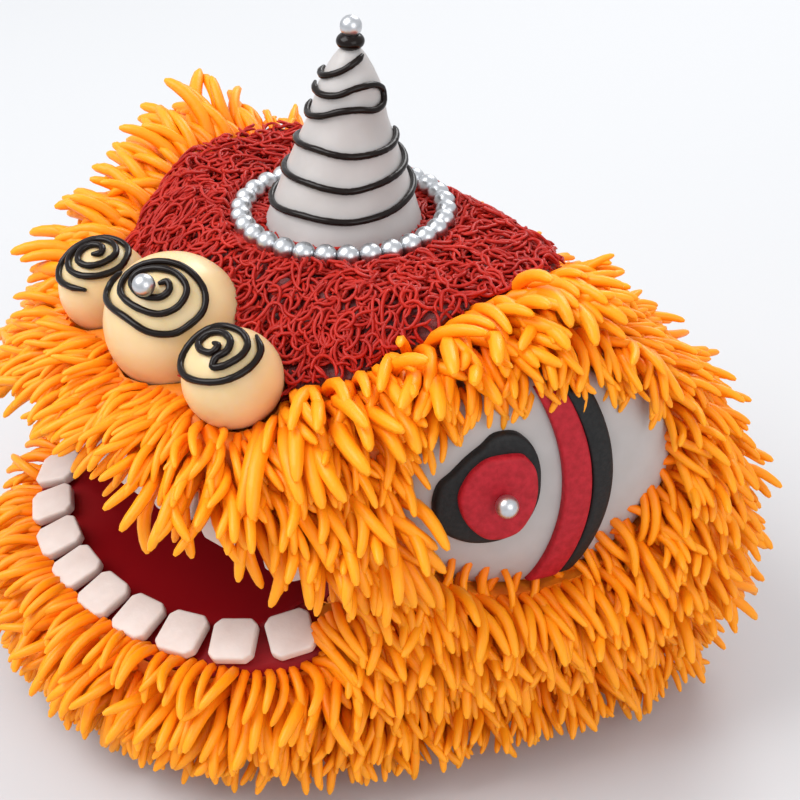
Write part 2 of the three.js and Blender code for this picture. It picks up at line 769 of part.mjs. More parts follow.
const head = new THREE.Group();
function addPiece(name, shape, color, finish) {
  const geometry = shape.isBufferGeometry ? shape : mainBody(shape);
  const mesh = new THREE.Mesh(geometry, new THREE.MeshStandardMaterial({ color, ...finish }));
  mesh.name = name;
  head.add(mesh);
}
function addPair(name, shape, color, finish) {
  const left = mainBody(shape.isBufferGeometry ? solidOf(shape) : shape);
  addPiece(`${name}_left`, left, color, finish);
  addPiece(`${name}_right`, mirrored(left), color, finish);
}

const eyesClear = eyeClear.add(solidOf(mirrored(mainBody(eyeClear))));
const headCake = tier(headLevels).subtract(mouthClear).subtract(noseClear).subtract(eyesClear);
addPiece("head_cake", headCake, colours.cake, icing);
addPiece("jaw_cake", tier(jawLevels).subtract(mouthClear), colours.cake, icing);

const insideCake = tier(headLevels).add(tier(jawLevels, 0, 2));
const mouthAir = joined([mouthEllipsoid(0), lipRoom(upperLip, -gap), lipRoom(lowerLip, -gap)]);
const lining = mouthEllipsoid(liningWall).intersect(insideCake).add(lipRoll(upperLip)).add(lipRoll(lowerLip));
addPiece("mouth_lining", lining.subtract(mouthAir), colours.mouth, fondant);

const coat = tier(headLevels, coatThickness).subtract(headClear).intersect(foreheadPrism());
addPiece("forehead_icing", coat.subtract(noseClear), colours.red, icing);

addPair("brow_fur", browFur(), colours.fur, icing);
addPair("cheek_fur", cheekFur(), colours.fur, icing);
addPiece("muzzle_fur", muzzleFur(), colours.fur, icing);
addPiece("nape_fur", napeFur(), colours.fur, icing);
addPiece("beard_fur", beardFur(), colours.fur, icing);

addPair("eye_white", eyeButton(), colours.white, fondant);
addPair("eye_red_band", inlay(bandRows(redBand), firstLift), colours.red, fondant);
addPair("eye_black_band", inlay(bandRows(blackBand), firstLift), colours.black, fondant);
addPair("pupil", inlay(leafRows(pupil), firstLift), colours.black, fondant);
addPair("iris", inlay(leafRows(iris), secondLift), colours.red, fondant);
const eyePearlW = eyeHeight(eyePearl.u, eyePearl.v) + secondLift + inlayThickness + gap + pearlRadius;
const eyePearlCentre = vector(eyePearl.u, eyePearl.v, eyePearlW).applyMatrix4(eyeMatrix);
addPair("eye_pearl", pearl(eyePearlCentre), colours.silver, silverSugar);

teethAngles(lowerLip, lowerTeeth).forEach((angle, i) => {
  addPiece(`lower_tooth_${i + 1}`, placedTooth(lowerLip, angle), colours.tooth, fondant);
});
teethAngles(upperLip, upperTeeth).forEach((angle, i) => {
  addPiece(`upper_tooth_${i + 1}`, placedTooth(upperLip, angle), colours.tooth, fondant);
});

addPiece("horn", hornGeometry(), colours.white, icing);
addPiece("horn_lower_line", hornLine(evenRows(longLine, lineStep), 46), colours.chocolate, icing);
addPiece("horn_hairpin_line", hornLine(hairpinRows, 26), colours.chocolate, icing);
addPiece("horn_top_line", hornLine(topLineRows, 8), colours.chocolate, icing);

// The knob wraps the horn's tip from above and the pearl is pressed into it.
const hornPearlCentre = hornAxis(hornPearlHeight);
const knobRadii = vector(knob.radius, knob.radius, knob.halfHeight);
const blob = solidOf(ellipsoid(hornAxis(knob.height), knobRadii, 10, 6));
const hornKnob = blob.subtract(solidOf(hornGeometry(gap))).subtract(solidOf(pearl(hornPearlCentre, gap)));
addPiece("horn_knob", hornKnob, colours.chocolate, icing);
addPiece("horn_pearl", pearl(hornPearlCentre), colours.silver, silverSugar);
addPiece("pearl_ring", pearlString(), colours.silver, silverSugar);

const nosePearlReach = noseBalls.middle.radius + gap + pearlRadius;
const nosePearlCentre = onNose(noseBalls.middle, nosePearlPlace, nosePearlReach);
for (const [side, nose] of Object.entries(noseBalls)) {
  addPiece(`nose_ball_${side}`, ball(noseCentre(nose), nose.radius, 14, 7), colours.cream, icing);
  const swirl = noseSwirl(nose, swirls[side]).subtract(solidOf(pearl(nosePearlCentre, gap)));
  addPiece(`nose_spiral_${side}`, swirl, colours.chocolate, icing);
}
addPiece("nose_pearl", pearl(nosePearlCentre), colours.silver, silverSugar);

// The origin is under the middle of the object's box, so the whole is slid along Y to put it there.
const box = new THREE.Box3().setFromObject(head);
head.position.y = -(box.min.y + box.max.y) / 2;

export default head;
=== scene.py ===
import math
import random

import bmesh
import bpy
from mathutils import Matrix, Vector


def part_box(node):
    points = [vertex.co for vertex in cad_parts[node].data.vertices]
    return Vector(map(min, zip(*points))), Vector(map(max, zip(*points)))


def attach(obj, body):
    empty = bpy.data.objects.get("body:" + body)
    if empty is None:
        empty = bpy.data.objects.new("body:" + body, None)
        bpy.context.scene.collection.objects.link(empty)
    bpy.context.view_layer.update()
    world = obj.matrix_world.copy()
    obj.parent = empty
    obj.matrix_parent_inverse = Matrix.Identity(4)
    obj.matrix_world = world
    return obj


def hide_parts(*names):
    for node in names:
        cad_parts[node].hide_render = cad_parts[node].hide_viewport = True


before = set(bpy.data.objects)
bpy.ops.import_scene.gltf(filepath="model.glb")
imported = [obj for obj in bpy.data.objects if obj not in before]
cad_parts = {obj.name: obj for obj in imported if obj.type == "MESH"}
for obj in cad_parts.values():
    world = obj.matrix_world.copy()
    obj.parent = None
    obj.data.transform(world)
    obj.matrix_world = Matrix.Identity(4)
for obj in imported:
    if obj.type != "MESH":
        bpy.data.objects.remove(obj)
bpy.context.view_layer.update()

# The two tiers of cake, which carry everything else. Each is sponge carved to shape and then covered with
# a thin coat of orange buttercream, spread with a knife. Little of it shows between the strands of fur.
MM = 0.001
HEAD_LEVELS = [  # height, half width, the y at which it is widest, the y of its front and of its back
    (27.3, 71, 26, -58, 45),
    (50, 71, 26, -60, 46),
    (63, 68, 23, -60, 44),
    (70, 64, 20, -57, 40),
    (76, 59, 12, -38, 33),
    (83, 53, 6, -27, 25),
    (86, 48, 3, -22, 21),
]
JAW_LEVELS = [(0, 62, 23, -58, 42), (12, 68, 23, -65, 45), (27, 67, 23, -66, 45)]
OUTLINE_POWER = 2.6  # 2 would be an ellipse, more is squarer
OUTLINE_TAPER = 0.26  # how much narrower a tier is at its front


def finish(name, color, roughness, metallic=0.0, glow=0.0, glow_reach=(2, 1, 0.5), specular=0.5):
    """A material of one colour. The glow is light that soaks in, to a depth in mm for each of its colours."""
    made = bpy.data.materials.new(name)
    made.use_nodes = True
    shader = made.node_tree.nodes["Principled BSDF"]
    shader.inputs["Base Color"].default_value = (*color, 1)
    shader.inputs["Roughness"].default_value = roughness
    shader.inputs["Metallic"].default_value = metallic
    shader.inputs["Specular IOR Level"].default_value = specular
    shader.inputs["Subsurface Weight"].default_value = glow
    shader.inputs["Subsurface Radius"].default_value = glow_reach
    shader.inputs["Subsurface Scale"].default_value = MM
    return made


def roughen(made, size, depth, strength=1.0, detail=4):
    """Bumps on a material that are size mm across and depth mm deep."""
    nodes, links = made.node_tree.nodes, made.node_tree.links
    place = nodes.new("ShaderNodeTexCoord")
    grain = nodes.new("ShaderNodeTexNoise")
    grain.inputs["Scale"].default_value = 1 / (size * MM)
    grain.inputs["Detail"].default_value = detail
    bump = nodes.new("ShaderNodeBump")
    bump.inputs["Distance"].default_value = depth * MM
    bump.inputs["Strength"].default_value = strength
    links.new(place.outputs["Object"], grain.inputs["Vector"])
    links.new(grain.outputs["Fac"], bump.inputs["Height"])
    links.new(bump.outputs["Normal"], nodes["Principled BSDF"].inputs["Normal"])


def mottle(made, size, low, high):
    """Patches on a material between two colours, size mm across."""
    nodes, links = made.node_tree.nodes, made.node_tree.links
    place = nodes.new("ShaderNodeTexCoord")
    patches = nodes.new("ShaderNodeTexNoise")
    patches.inputs["Scale"].default_value = 1 / (size * MM)
    patches.inputs["Detail"].default_value = 3
    ramp = nodes.new("ShaderNodeValToRGB")
    ramp.color_ramp.elements[0].position = 0.3
    ramp.color_ramp.elements[1].position = 0.7
    ramp.color_ramp.elements[0].color = (*low, 1)
    ramp.color_ramp.elements[1].color = (*high, 1)
    links.new(place.outputs["Object"], patches.inputs["Vector"])
    links.new(patches.outputs["Fac"], ramp.inputs["Fac"])
    links.new(ramp.outputs["Color"], nodes["Principled BSDF"].inputs["Base Color"])


cake_coat = finish("spread_buttercream", (0.8, 0.22, 0.005), 0.5, glow=0.2)
mottle(cake_coat, 6, (0.66, 0.14, 0.003), (0.85, 0.26, 0.008))
roughen(cake_coat, 3, 0.5)
for tier in ("head_cake", "jaw_cake"):
    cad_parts[tier].material_slots[0].material = cake_coat

# The mouth: dark red fondant rolled out thin, pressed into the hollow between the tiers and turned over at
# the edge into two flat lips. The lips are arches, seen from above.
MOUTH = {"y": -44, "z": 44.4, "half_width": 43, "half_depth": 36, "half_height": 18.4, "wall": 2.2}
LOWER_LIP = {"half_width": 40, "depth": 25.6, "back": -34.5, "middle": 25.6, "rise": 6.3, "reach": 84,
             "width": 11, "thickness": 4, "slope": 20}
UPPER_LIP = {"half_width": 36.5, "depth": 20, "back": -34.5, "middle": 61.5, "rise": -17, "reach": 80,
             "width": 9.4, "thickness": 3, "slope": 90}
TOOTH_ROOM = 9  # how far the teeth stand out from a lip, with a little to spare


def new_piece(name, data):
    """An object of its own in the scene."""
    piece = bpy.data.objects.new(name, data)
    bpy.context.collection.objects.link(piece)
    return piece


def smooth_copy(node, name, made, angle, bevel=0.0):
    """A CAD node's shape as a new piece, smooth up to an angle, its edges rounded by bevel mm."""
    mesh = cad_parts[node].data.copy()
    shape = bmesh.new()
    shape.from_mesh(mesh)
    bmesh.ops.remove_doubles(shape, verts=shape.verts, dist=1e-6)
    bmesh.ops.dissolve_limit(shape, angle_limit=math.radians(1), verts=shape.verts, edges=shape.edges)
    if bevel:
        sharp = [edge for edge in shape.edges if edge.calc_face_angle(0) > math.radians(30)]
        bmesh.ops.bevel(shape, geom=sharp, offset=bevel * MM, segments=3, profile=0.5, affect="EDGES")
    shape.to_mesh(mesh)
    shape.free()
    mesh.materials.clear()
    mesh.materials.append(made)
    mesh.shade_smooth()
    mesh.set_sharp_from_angle(angle=math.radians(angle))
    return new_piece(name, mesh)


mouth_red = finish("mouth_fondant", (0.24, 0.001, 0.004), 0.55, glow=0.1, specular=0.2)
lining = smooth_copy("mouth_lining", "mouth_fondant_lining", mouth_red, angle=40)
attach(lining, "root")
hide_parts("mouth_lining")

# The teeth: squares cut from a sheet of ivory fondant, their edges softened by the cutter, set on the lips
# one by one with a little water.
TOOTH_EDGE = 0.5
tooth_ivory = finish("tooth_fondant", (0.66, 0.56, 0.51), 0.5, glow=0.25, glow_reach=(3, 2, 1.5))
mottle(tooth_ivory, 5, (0.62, 0.52, 0.47), (0.69, 0.6, 0.55))
roughen(tooth_ivory, 2, 0.1)
for row, count in (("lower", 10), ("upper", 9)):
    teeth = [smooth_copy(f"{row}_tooth_{i}", f"{row}_tooth", tooth_ivory, 80, TOOTH_EDGE)
             for i in range(1, count + 1)]
    joined = bmesh.new()
    for tooth in teeth:
        joined.from_mesh(tooth.data)
        bpy.data.objects.remove(tooth)
    mesh = bpy.data.meshes.new(f"{row}_teeth")
    joined.to_mesh(mesh)
    joined.free()
    mesh.materials.append(tooth_ivory)
    mesh.shade_smooth()
    piece = new_piece(f"{row}_teeth", mesh)
    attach(piece, "root")
    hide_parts(*[f"{row}_tooth_{i}" for i in range(1, count + 1)])

# The forehead: fine strings of dark red buttercream, piped in loops over a coat of the same icing, in
# several layers that cross.
FIELD_ROWS = [  # y, half width
    (-45, 20), (-38, 27), (-28, 34), (-14, 40.5), (0, 43), (13, 42), (23, 37), (29, 27),
]
COAT = 1.8
STRING = {"radius": 0.36, "step": 0.85, "total": 20000, "length": (5, 18), "lift": (0.2, 2.7), "seed": 4}
STRING_SIDES = 4
TURNS = 0.22  # how often a string turns another way, for each step along it
HORN_FOOT, PEARLS_END = 14, 23  # from the horn's axis
CALM = 0.35  # how much of their lift the strings keep under the pearls
HORN_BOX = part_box("horn")
SLIDE = (HORN_BOX[0].y + HORN_BOX[1].y) / 2 / MM  # the horn's axis in the frame


def placed(point):
    """A point in millimetres from the horn's axis, in the frame's metres."""
    return Vector((point[0], point[1] + SLIDE, point[2])) * MM


def mixed(rows, at):
    """The row of a table at a value of its first column, mixed from the two rows round it."""
    upper = next((i for i, row in enumerate(rows) if row[0] >= at), len(rows) - 1)
    low, high = rows[max(0, upper - 1)], rows[max(1, upper)]
    share = (at - low[0]) / (high[0] - low[0])
    return [a + (b - a) * share for a, b in zip(low, high)]


def in_tier(levels, point):
    """Whether a point is inside a tier."""
    _, half_width, widest, front, back = mixed(levels, point[2])
    reach = widest - front if point[1] < widest else back - widest
    along = (point[1] - widest) / reach
    across = abs(point[0]) / (half_width * (1 + OUTLINE_TAPER * max(-1, min(0, along))))
    return across**OUTLINE_POWER + abs(along) ** OUTLINE_POWER < 1


def in_field(x, y, grow=0):
    """Whether a place on the cap is in the red field, grown by that much."""
    first, last = FIELD_ROWS[0][0], FIELD_ROWS[-1][0]
    if not first - grow <= y <= last + grow:
        return False
    return abs(x) <= mixed(FIELD_ROWS, min(max(y, first), last))[1] + grow


def cap_height(x, y):
    """The height of the cake's top at a place, found by halving."""
    low, high = 55.0, 86.0
    if in_tier(HEAD_LEVELS, (x, y, high)):
        return high
    for _ in range(12):
        middle = (low + high) / 2
        if in_tier(HEAD_LEVELS, (x, y, middle)):
            low = middle
        else:
            high = middle
    return low


def new_tree(name, inputs):
    """A Geometry Nodes tree with named inputs: (name, kind of socket, value)."""
    tree = bpy.data.node_groups.new(name, "GeometryNodeTree")
    tree.interface.new_socket("Geometry", in_out="INPUT", socket_type="NodeSocketGeometry")
    tree.interface.new_socket("Geometry", in_out="OUTPUT", socket_type="NodeSocketGeometry")
    for label, kind, value in inputs:
        socket = tree.interface.new_socket(label, in_out="INPUT", socket_type=kind)
        if value is not None:
            socket.default_value = value
    return tree


def add(tree, kind, inputs=None, **settings):
    """A node with its settings, and its inputs from values or other sockets, by name or number."""
    made = tree.nodes.new(kind)
    for key, value in settings.items():
        setattr(made, key, value)
    for key, value in (inputs or {}).items():
        if isinstance(value, bpy.types.NodeSocket):
            tree.links.new(value, made.inputs[key])
        else:
            made.inputs[key].default_value = value
    return made


def sums(tree, operation, *values):
    """The result of one step of arithmetic."""
    return add(tree, "ShaderNodeMath", dict(enumerate(values)), operation=operation).outputs[0]


def grown(name, mesh, tree, values):
    """The plain mesh that a tree makes from a mesh, as a new piece."""
    piece = new_piece(name, mesh)
    modifier = piece.modifiers.new(tree.name, "NODES")
    modifier.node_group = tree
    named = [item for item in tree.interface.items_tree if item.in_out == "INPUT"]
    sockets = {item.name: item.identifier for item in named}
    for label, value in values.items():
        modifier[sockets[label]] = value
    piece.update_tag()
    evaluated = piece.evaluated_get(bpy.context.evaluated_depsgraph_get())
    result = bpy.data.meshes.new_from_object(evaluated)
    piece.modifiers.remove(modifier)
    piece.data = result
    result.name = name
    return piece


def line_tree():
    """Round icing along the edges of a mesh, as thick at each point as its attribute girth says."""
    tree = new_tree("piped line", [("Sides", "NodeSocketInt", 6), ("Material", "NodeSocketMaterial", None)])
    given = add(tree, "NodeGroupInput")
    paths = add(tree, "GeometryNodeMeshToCurve", {"Mesh": given.outputs["Geometry"]})
    girth = add(tree, "GeometryNodeInputNamedAttribute", {"Name": "girth"}, data_type="FLOAT")
    thick = add(tree, "GeometryNodeSetCurveRadius", {"Curve": paths.outputs[0], "Radius": girth.outputs[0]})
    ring = add(tree, "GeometryNodeCurvePrimitiveCircle",
               {"Resolution": given.outputs["Sides"], "Radius": 1.0})
    skin = add(tree, "GeometryNodeCurveToMesh",
               {"Curve": thick.outputs[0], "Profile Curve": ring.outputs[0], "Fill Caps": True})
    if "Scale" in skin.inputs:
        radius = add(tree, "GeometryNodeInputRadius")
        tree.links.new(radius.outputs[0], skin.inputs["Scale"])
    smooth = add(tree, "GeometryNodeSetShadeSmooth", {"Geometry": skin.outputs[0]})
    painted = add(tree, "GeometryNodeSetMaterial",
                  {"Geometry": smooth.outputs[0], "Material": given.outputs["Material"]})
    add(tree, "NodeGroupOutput", {"Geometry": painted.outputs[0]})
    return tree


piped_line = line_tree()


def piped(name, paths, sides, made):
    """Lines of icing: each path is a list of (point, radius) in mm."""
    points, edges, girths = [], [], []
    for path in paths:
        start = len(points)
        points += [placed(point) for point, _ in path]
        girths += [radius * MM for _, radius in path]
        edges += [(start + i, start + i + 1) for i in range(len(path) - 1)]
    mesh = bpy.data.meshes.new(name)
    mesh.from_pydata(points, edges, [])
    mesh.attributes.new("girth", "FLOAT", "POINT").data.foreach_set("value", girths)
    return grown(name, mesh, piped_line, {"Sides": sides, "Material": made})


def string_paths():
    """Strings that wander over the red field, each at its own height over the coat."""
    chance = random.Random(STRING["seed"])
    paths, total = [], 0
    while total < STRING["total"]:
        x, y = chance.uniform(-45, 45), chance.uniform(-47, 31)
        if not in_field(x, y, 1):
            continue
        heading = chance.uniform(0, 2 * math.pi)
        curl = chance.choice((-1, 1)) * chance.uniform(0.2, 0.75)
        lift = chance.uniform(*STRING["lift"])
        sway, phase = chance.uniform(0.3, 0.8), chance.uniform(0, 6.3)
        path = []
        for step in range(int(chance.uniform(*STRING["length"]) / STRING["step"])):
            if not in_field(x, y, 1.2) or math.hypot(x, y) < HORN_FOOT:
                break
            calm = CALM if math.hypot(x, y) < PEARLS_END else 1
            lifted = max(0, lift + sway * math.sin(phase + step * 0.5))
            height = cap_height(x, y) + COAT + calm * lifted
            path.append(((x, y, height), STRING["radius"]))
            if chance.random() < TURNS:
                curl = chance.choice((-1, 1)) * chance.uniform(0.1, 0.8)
            heading += curl * STRING["step"]
            x += math.cos(heading) * STRING["step"]
            y += math.sin(heading) * STRING["step"]
        if len(path) > 3:
            path[0] = (path[0][0], 0.5 * STRING["radius"])
            path[-1] = (path[-1][0], 0.4 * STRING["radius"])
            paths.append(path)
            total += len(path) * STRING["step"]
    return paths


# The coat is coloured far darker than the strings piped from the same icing: painted shade for the deep gaps
# between the strings.
coat_red_painted_shade = finish("red_icing_coat_painted_shade", (0.13, 0.002, 0.002), 0.5)
mottle(coat_red_painted_shade, 2, (0.06, 0.001, 0.001), (0.2, 0.004, 0.003))
roughen(coat_red_painted_shade, 1, 0.5)
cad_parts["forehead_icing"].material_slots[0].material = coat_red_painted_shade
string_red = finish("red_icing_strings", (0.44, 0.014, 0.01), 0.42, glow=0.12, glow_reach=(1, 0.2, 0.1),
                    specular=0.25)
mottle(string_red, 4, (0.36, 0.008, 0.004), (0.5, 0.02, 0.01))
strings = piped("forehead_strings", string_paths(), STRING_SIDES, string_red)
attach(strings, "root")

# The fur: thousands of strands of orange buttercream, piped one at a time from a small round tip. Each is
# thick where it is pressed onto the cake and is pulled out and down to a blunt point. Neat rows frame the
# red field, the eyes and the lower lip, and the rest fills the cake between them.
EYE = {"x": 58, "y": -4.4, "z": 60, "forward": 22, "half_width": 26.5, "half_height": 22, "bulge": 5}
NOSE = {  # x, y, z, radius
    "middle": (0, -39.3, 79.2, 12.9),
    "left": (22, -42, 78.6, 8.9),
    "right": (-22.6, -40.2, 77.4, 8.9),
}
STRAND = {"radius": 0.98, "length": 12, "spacing": 1.9, "row_spacing": 1.8, "edge_gap": 0.9, "sunk": 0.6}
STRAND_RINGS, STRAND_SIDES = 8, 6
BENDS = (25, 45, 65, 85)  # degrees from a strand's root to its tip, one for each kind of strand
SWAYS = (-0.09, 0.1, -0.04, 0.07)  # how far each kind sways to its side, as a share of its length
SWAY_TURN = 3.6  # how far the sway goes round from root to tip, in radians
TIP_CROWDING = 1.5  # over 1, a strand's rings stand closer towards its tip
UNEVEN = {"turn": 9, "bend": 20, "length": (0.84, 1.14)}  # how much strands differ: degrees, and a factor
HEAD_FUR = [  # height of the root, how far up it sets off and how far it bends in degrees, its length
    (27.3, 0, 56, 14),
    (36, 2, 58, 13),
    (60, 0, 58, 11.5),
    (70, 10, 60, 10.5),
    (76, 24, 66, 10),
    (83, 46, 74, 12.5),
    (86, 54, 74, 14),
]
NAPE_FUR = [(27.3, -8, 50, 12), (60, -6, 52, 12), (70, -14, 40, 11), (76, -15, 24, 10), (86, -8, 26, 9)]
JAW_FUR = [(7, 8, 42, 8), (13, -2, 58, 12), (20, 4, 62, 14.5), (27, 10, 66, 15.5)]
JAW_SIDE = {"rise": -22, "length": 9, "front": -44, "back": -22, "low": 12, "high": 20}  # beside the mouth
CREST = [(0.7, 50, 76, 12), (2.8, 58, 76, 14.5), (5, 56, 72, 15)]  # out from the field, rise, bend, length
CREST_BACK, CREST_LOW = 24, 79  # the y at which the crest round the red field ends, and the z
CREST_RISE = {"least": 0.2, "from": -46, "over": 22}  # a share of the rise, which grows by y
TUFT = {"tall": 1.2, "lost": 0.45, "from": 4, "over": 12}  # a factor, how much of it goes, and where by y
COMB = {"turn": 34, "middle": 42, "reach": 26}  # degrees, the middle and reach from the lion's front
NAPE_SHARE = {"from": 0.35, "over": 0.45}  # where the nape's lie takes over, by the sine of the angle
FRINGE = {"back": -26, "low": 54, "high": 66, "longer": 1.3}  # the strands that hang over the upper teeth
MUZZLE_BACK, NAPE_FRONT = -41, 29.6  # y
EYE_EDGE = [  # u (back) and v (up) along the lower edge of what shows of an eye and round its back end
    (-25, -2.2), (-22.8, -7.2), (-19, -10.6), (-13.4, -13.2), (-9.6, -15.2), (-3.7, -17.8), (1, -19.6),
    (4, -20.2), (10, -14.6), (13.6, -11), (18.5, -8.2), (22, -6), (24.8, -2), (25.4, 3), (24, 8),
]
LIP_ROWS = [(-0.2, 26), (1.7, 24), (3.6, 20), (5.5, 16), (7.4, 14)]  # out from the lower lip's edge, rise
EYE_TOP = [  # u and v over an eye, where the strands that hang over it stand
    (-25, 9), (-21, 14.5), (-15, 19), (-8, 22), (0, 23), (8, 22.2), (15, 20.2), (22, 15.6),
]
OVERHANG = [(0, -20, 40, 9), (1.7, -8, 46, 10.5), (3.4, 4, 52, 11.5)]  # out from the eye, rise, bend, length
EYE_ROWS = [  # out from the eye's edge, lift, bend, length
    (0.3, 36, 42, 10.5), (2.7, 32, 45, 11), (5.1, 28, 48, 11.5), (7.5, 24, 50, 12),
]
EYE_SPACING, OVERHANG_SPACING = 1.9, 1.6
EYE_DEPTH = 12  # how far behind an eye's face no fur grows
BALL_GAP, CREST_BALL_GAP = 0.4, 1  # between a nose ball and the roots round it
LIP_ENDS = 8  # degrees at each end of a lip that carry no teeth
LIP_STRAND = {"bend": 84, "length": 12.5, "raised": 0.6}
SIDE_STEP, ROUND_STEP = 0.3, 0.7  # up and round a tier in the search for the fur's edges
ROWS_APART, NEXT_APART = 0.85, (0.9, 1.15)  # between rows and neighbours, as shares of the spacing
APART = {"head": 0.84, "nape": 0.98, "jaw": 0.9, "row": 0.9}  # the least between roots, as shares of it
HEAD_EDGES, HEAD_SIDES, JAW_SIDES = (28, 69), (28.5, 70), (8.5, 26.6)  # from and to a height
TOP_ROWS, TOP_REACH = (-60, 44), 66  # y, and x to both sides

forward = math.radians(EYE["forward"])
eye_frame = Matrix((
    (math.sin(forward), 0, math.cos(forward), EYE["x"]),
    (math.cos(forward), 0, -math.sin(forward), EYE["y"]),
    (0, 1, 0, EYE["z"]),
    (0, 0, 0, 1),
))
eye_inverse = eye_frame.inverted()


def tier_point(levels, z, angle):
    """A point of a tier's outline: the lion's left is at angle 0, its front at -90, its back at 90."""
    _, half_width, widest, front, back = mixed(levels, z)
    cos, sin = math.cos(math.radians(angle)), math.sin(math.radians(angle))
    radius = (abs(cos) ** OUTLINE_POWER + abs(sin) ** OUTLINE_POWER) ** (-1 / OUTLINE_POWER)
    across, along = cos * radius, sin * radius
    reach = widest - front if along < 0 else back - widest
    narrowed = half_width * (1 + OUTLINE_TAPER * min(0, along))
    return Vector((across * narrowed, widest + along * reach, z))


def tier_outward(levels, z, angle):
    """The direction straight out of a tier's side."""
    around = tier_point(levels, z, angle + 1) - tier_point(levels, z, angle - 1)
    upward = tier_point(levels, z + 0.4, angle) - tier_point(levels, z - 0.4, angle)
    return around.cross(upward).normalized()


def eye_height(u, v):
    """The height of the dome over a place on the eye."""
    off = (u / EYE["half_width"]) ** 2 + (v / EYE["half_height"]) ** 2
    return EYE["bulge"] * math.sqrt(max(0, 1 - off))


def over_eye(point, grow):
    """Whether a point is at an eye's button or in front of it, grown by that much."""
    u, v, w = eye_inverse @ Vector((abs(point[0]), point[1], point[2]))
    off = (u / (EYE["half_width"] + grow)) ** 2 + (v / (EYE["half_height"] + grow)) ** 2
    return w > -EYE_DEPTH and off < 1


def arch_frame(lip, angle):
    """The point of a lip's arch at an angle from its front, and the directions along, out of and up it."""
    across, forward = math.sin(angle), math.cos(angle)
    point = Vector((across * lip["half_width"], lip["back"] - forward * lip["depth"],
                    lip["middle"] + lip["rise"] * (1 - forward)))
    along = Vector((forward * lip["half_width"], across * lip["depth"], across * lip["rise"])).normalized()
    outward = Vector((along.y, -along.x, 0)).normalized()
    return point, along, outward, outward.cross(along)


def by_lip(lip, point, grow):
    """Whether a point is on a lip or over the face of it that carries the teeth."""
    angle = math.atan2(point[0] / lip["half_width"], (lip["back"] - point[1]) / lip["depth"])
    if abs(angle) > math.radians(lip["reach"] - LIP_ENDS):
        return False
    middle, _, outward, upward = arch_frame(lip, angle)
    slope = math.radians(lip["slope"])
    off = Vector(point) - middle
    across = off.dot(outward * math.cos(slope) - upward * math.sin(slope))
    through = off.dot(outward * math.sin(slope) + upward * math.cos(slope))
    half = lip["thickness"] / 2
    return abs(across) < lip["width"] / 2 + grow and -half - grow < through < half + TOOTH_ROOM


def in_mouth(point, grow):
    """Whether a point is in the mouth or among the teeth."""
    off = (point[0] / (MOUTH["half_width"] + MOUTH["wall"] + grow),
           (point[1] - MOUTH["y"]) / (MOUTH["half_depth"] + MOUTH["wall"] + grow),
           (point[2] - MOUTH["z"]) / (MOUTH["half_height"] + MOUTH["wall"] + grow))
    if sum(part * part for part in off) < 1:
        return True
    return by_lip(LOWER_LIP, point, grow) or by_lip(UPPER_LIP, point, grow)


def near_ball(point, gap):
    """Whether a point is in one of the nose balls or nearer to it than the gap."""
    return any((Vector(point) - Vector(ball[:3])).length < ball[3] + gap for ball in NOSE.values())


def bald(point):
    """Whether a place on the cake carries something other than fur."""
    grow = STRAND["edge_gap"]
    if point[2] > 60 and in_field(point[0], point[1], grow):
        return True
    return near_ball(point, BALL_GAP) or over_eye(point, grow) or in_mouth(point, grow)


def aimed(outward, rise):
    """The direction in which a strand sets off: outward over the ground and up by an angle."""
    level = Vector((outward.x, outward.y, 0)).normalized()
    return level * math.cos(math.radians(rise)) + Vector((0, 0, math.sin(math.radians(rise))))


class Roots:
    """The strands of a tier by their root, aim, bend and length, with the roots kept apart."""

    def __init__(self):
        self.cells = {}
        self.strands = []

    def add(self, point, aim, bend, length, spacing):
        """Takes up a strand unless another root is nearer than the spacing."""
        x, y, z = (int(part // STRAND["spacing"]) for part in point)
        for dx in (-1, 0, 1):
            for dy in (-1, 0, 1):
                for dz in (-1, 0, 1):
                    for other in self.cells.get((x + dx, y + dy, z + dz), ()):
                        if (point - other).length < spacing:
                            return
        self.cells.setdefault((x, y, z), []).append(point)
        self.strands.append((point, aim, bend, length))


def along_line(points, spacing):
    """Places at even steps along a line of (x, y) points, each with the direction to its right."""
    made, left = [], 0.0
    for a, b in zip(points, points[1:]):
        a, b = Vector(a), Vector(b)
        length = (b - a).length
        way = (b - a) / length
        while left < length:
            made.append((a + way * left, Vector((way.y, -way.x))))
            left += spacing
        left -= length
    return made


def tuft(y):
    """How much longer the strands of the crest are, which stands tallest beside the horn."""
    return TUFT["tall"] - TUFT["lost"] * min(1, max(0, (y - TUFT["from"]) / TUFT["over"]))


def field_crest(roots):
    """Rows of strands that stand up round the red field and hang over outwards."""
    side = [(half_width, y) for y, half_width in FIELD_ROWS if y <= CREST_BACK]
    for out, rise, bend, length in CREST:
        for sign in (1, -1):
            for (x, y), (away_x, away_y) in along_line(side, STRAND["row_spacing"]):
                x, y = x + away_x * out, y + away_y * out
                on_coat = COAT * max(0, 1 - out / 4)
                point = Vector((sign * x, y, cap_height(x, y) + on_coat))
                if not near_ball(point, CREST_BALL_GAP):
                    share = min(1, max(CREST_RISE["least"], (y - CREST_RISE["from"]) / CREST_RISE["over"]))
                    aim = aimed(Vector((sign * away_x, away_y, 0)), rise * share)
                    roots.add(point, aim, bend, length * tuft(y), APART["row"] * STRAND["row_spacing"])


def both_sides(roots, root, aim, bend, length, spacing):
    """A strand on the left of the head, and its mirror image on the right."""
    for sign in (1, -1):
        at, way = Vector((sign * root.x, root.y, root.z)), Vector((sign * aim.x, aim.y, aim.z))
        roots.add(at, way, bend, length, spacing)


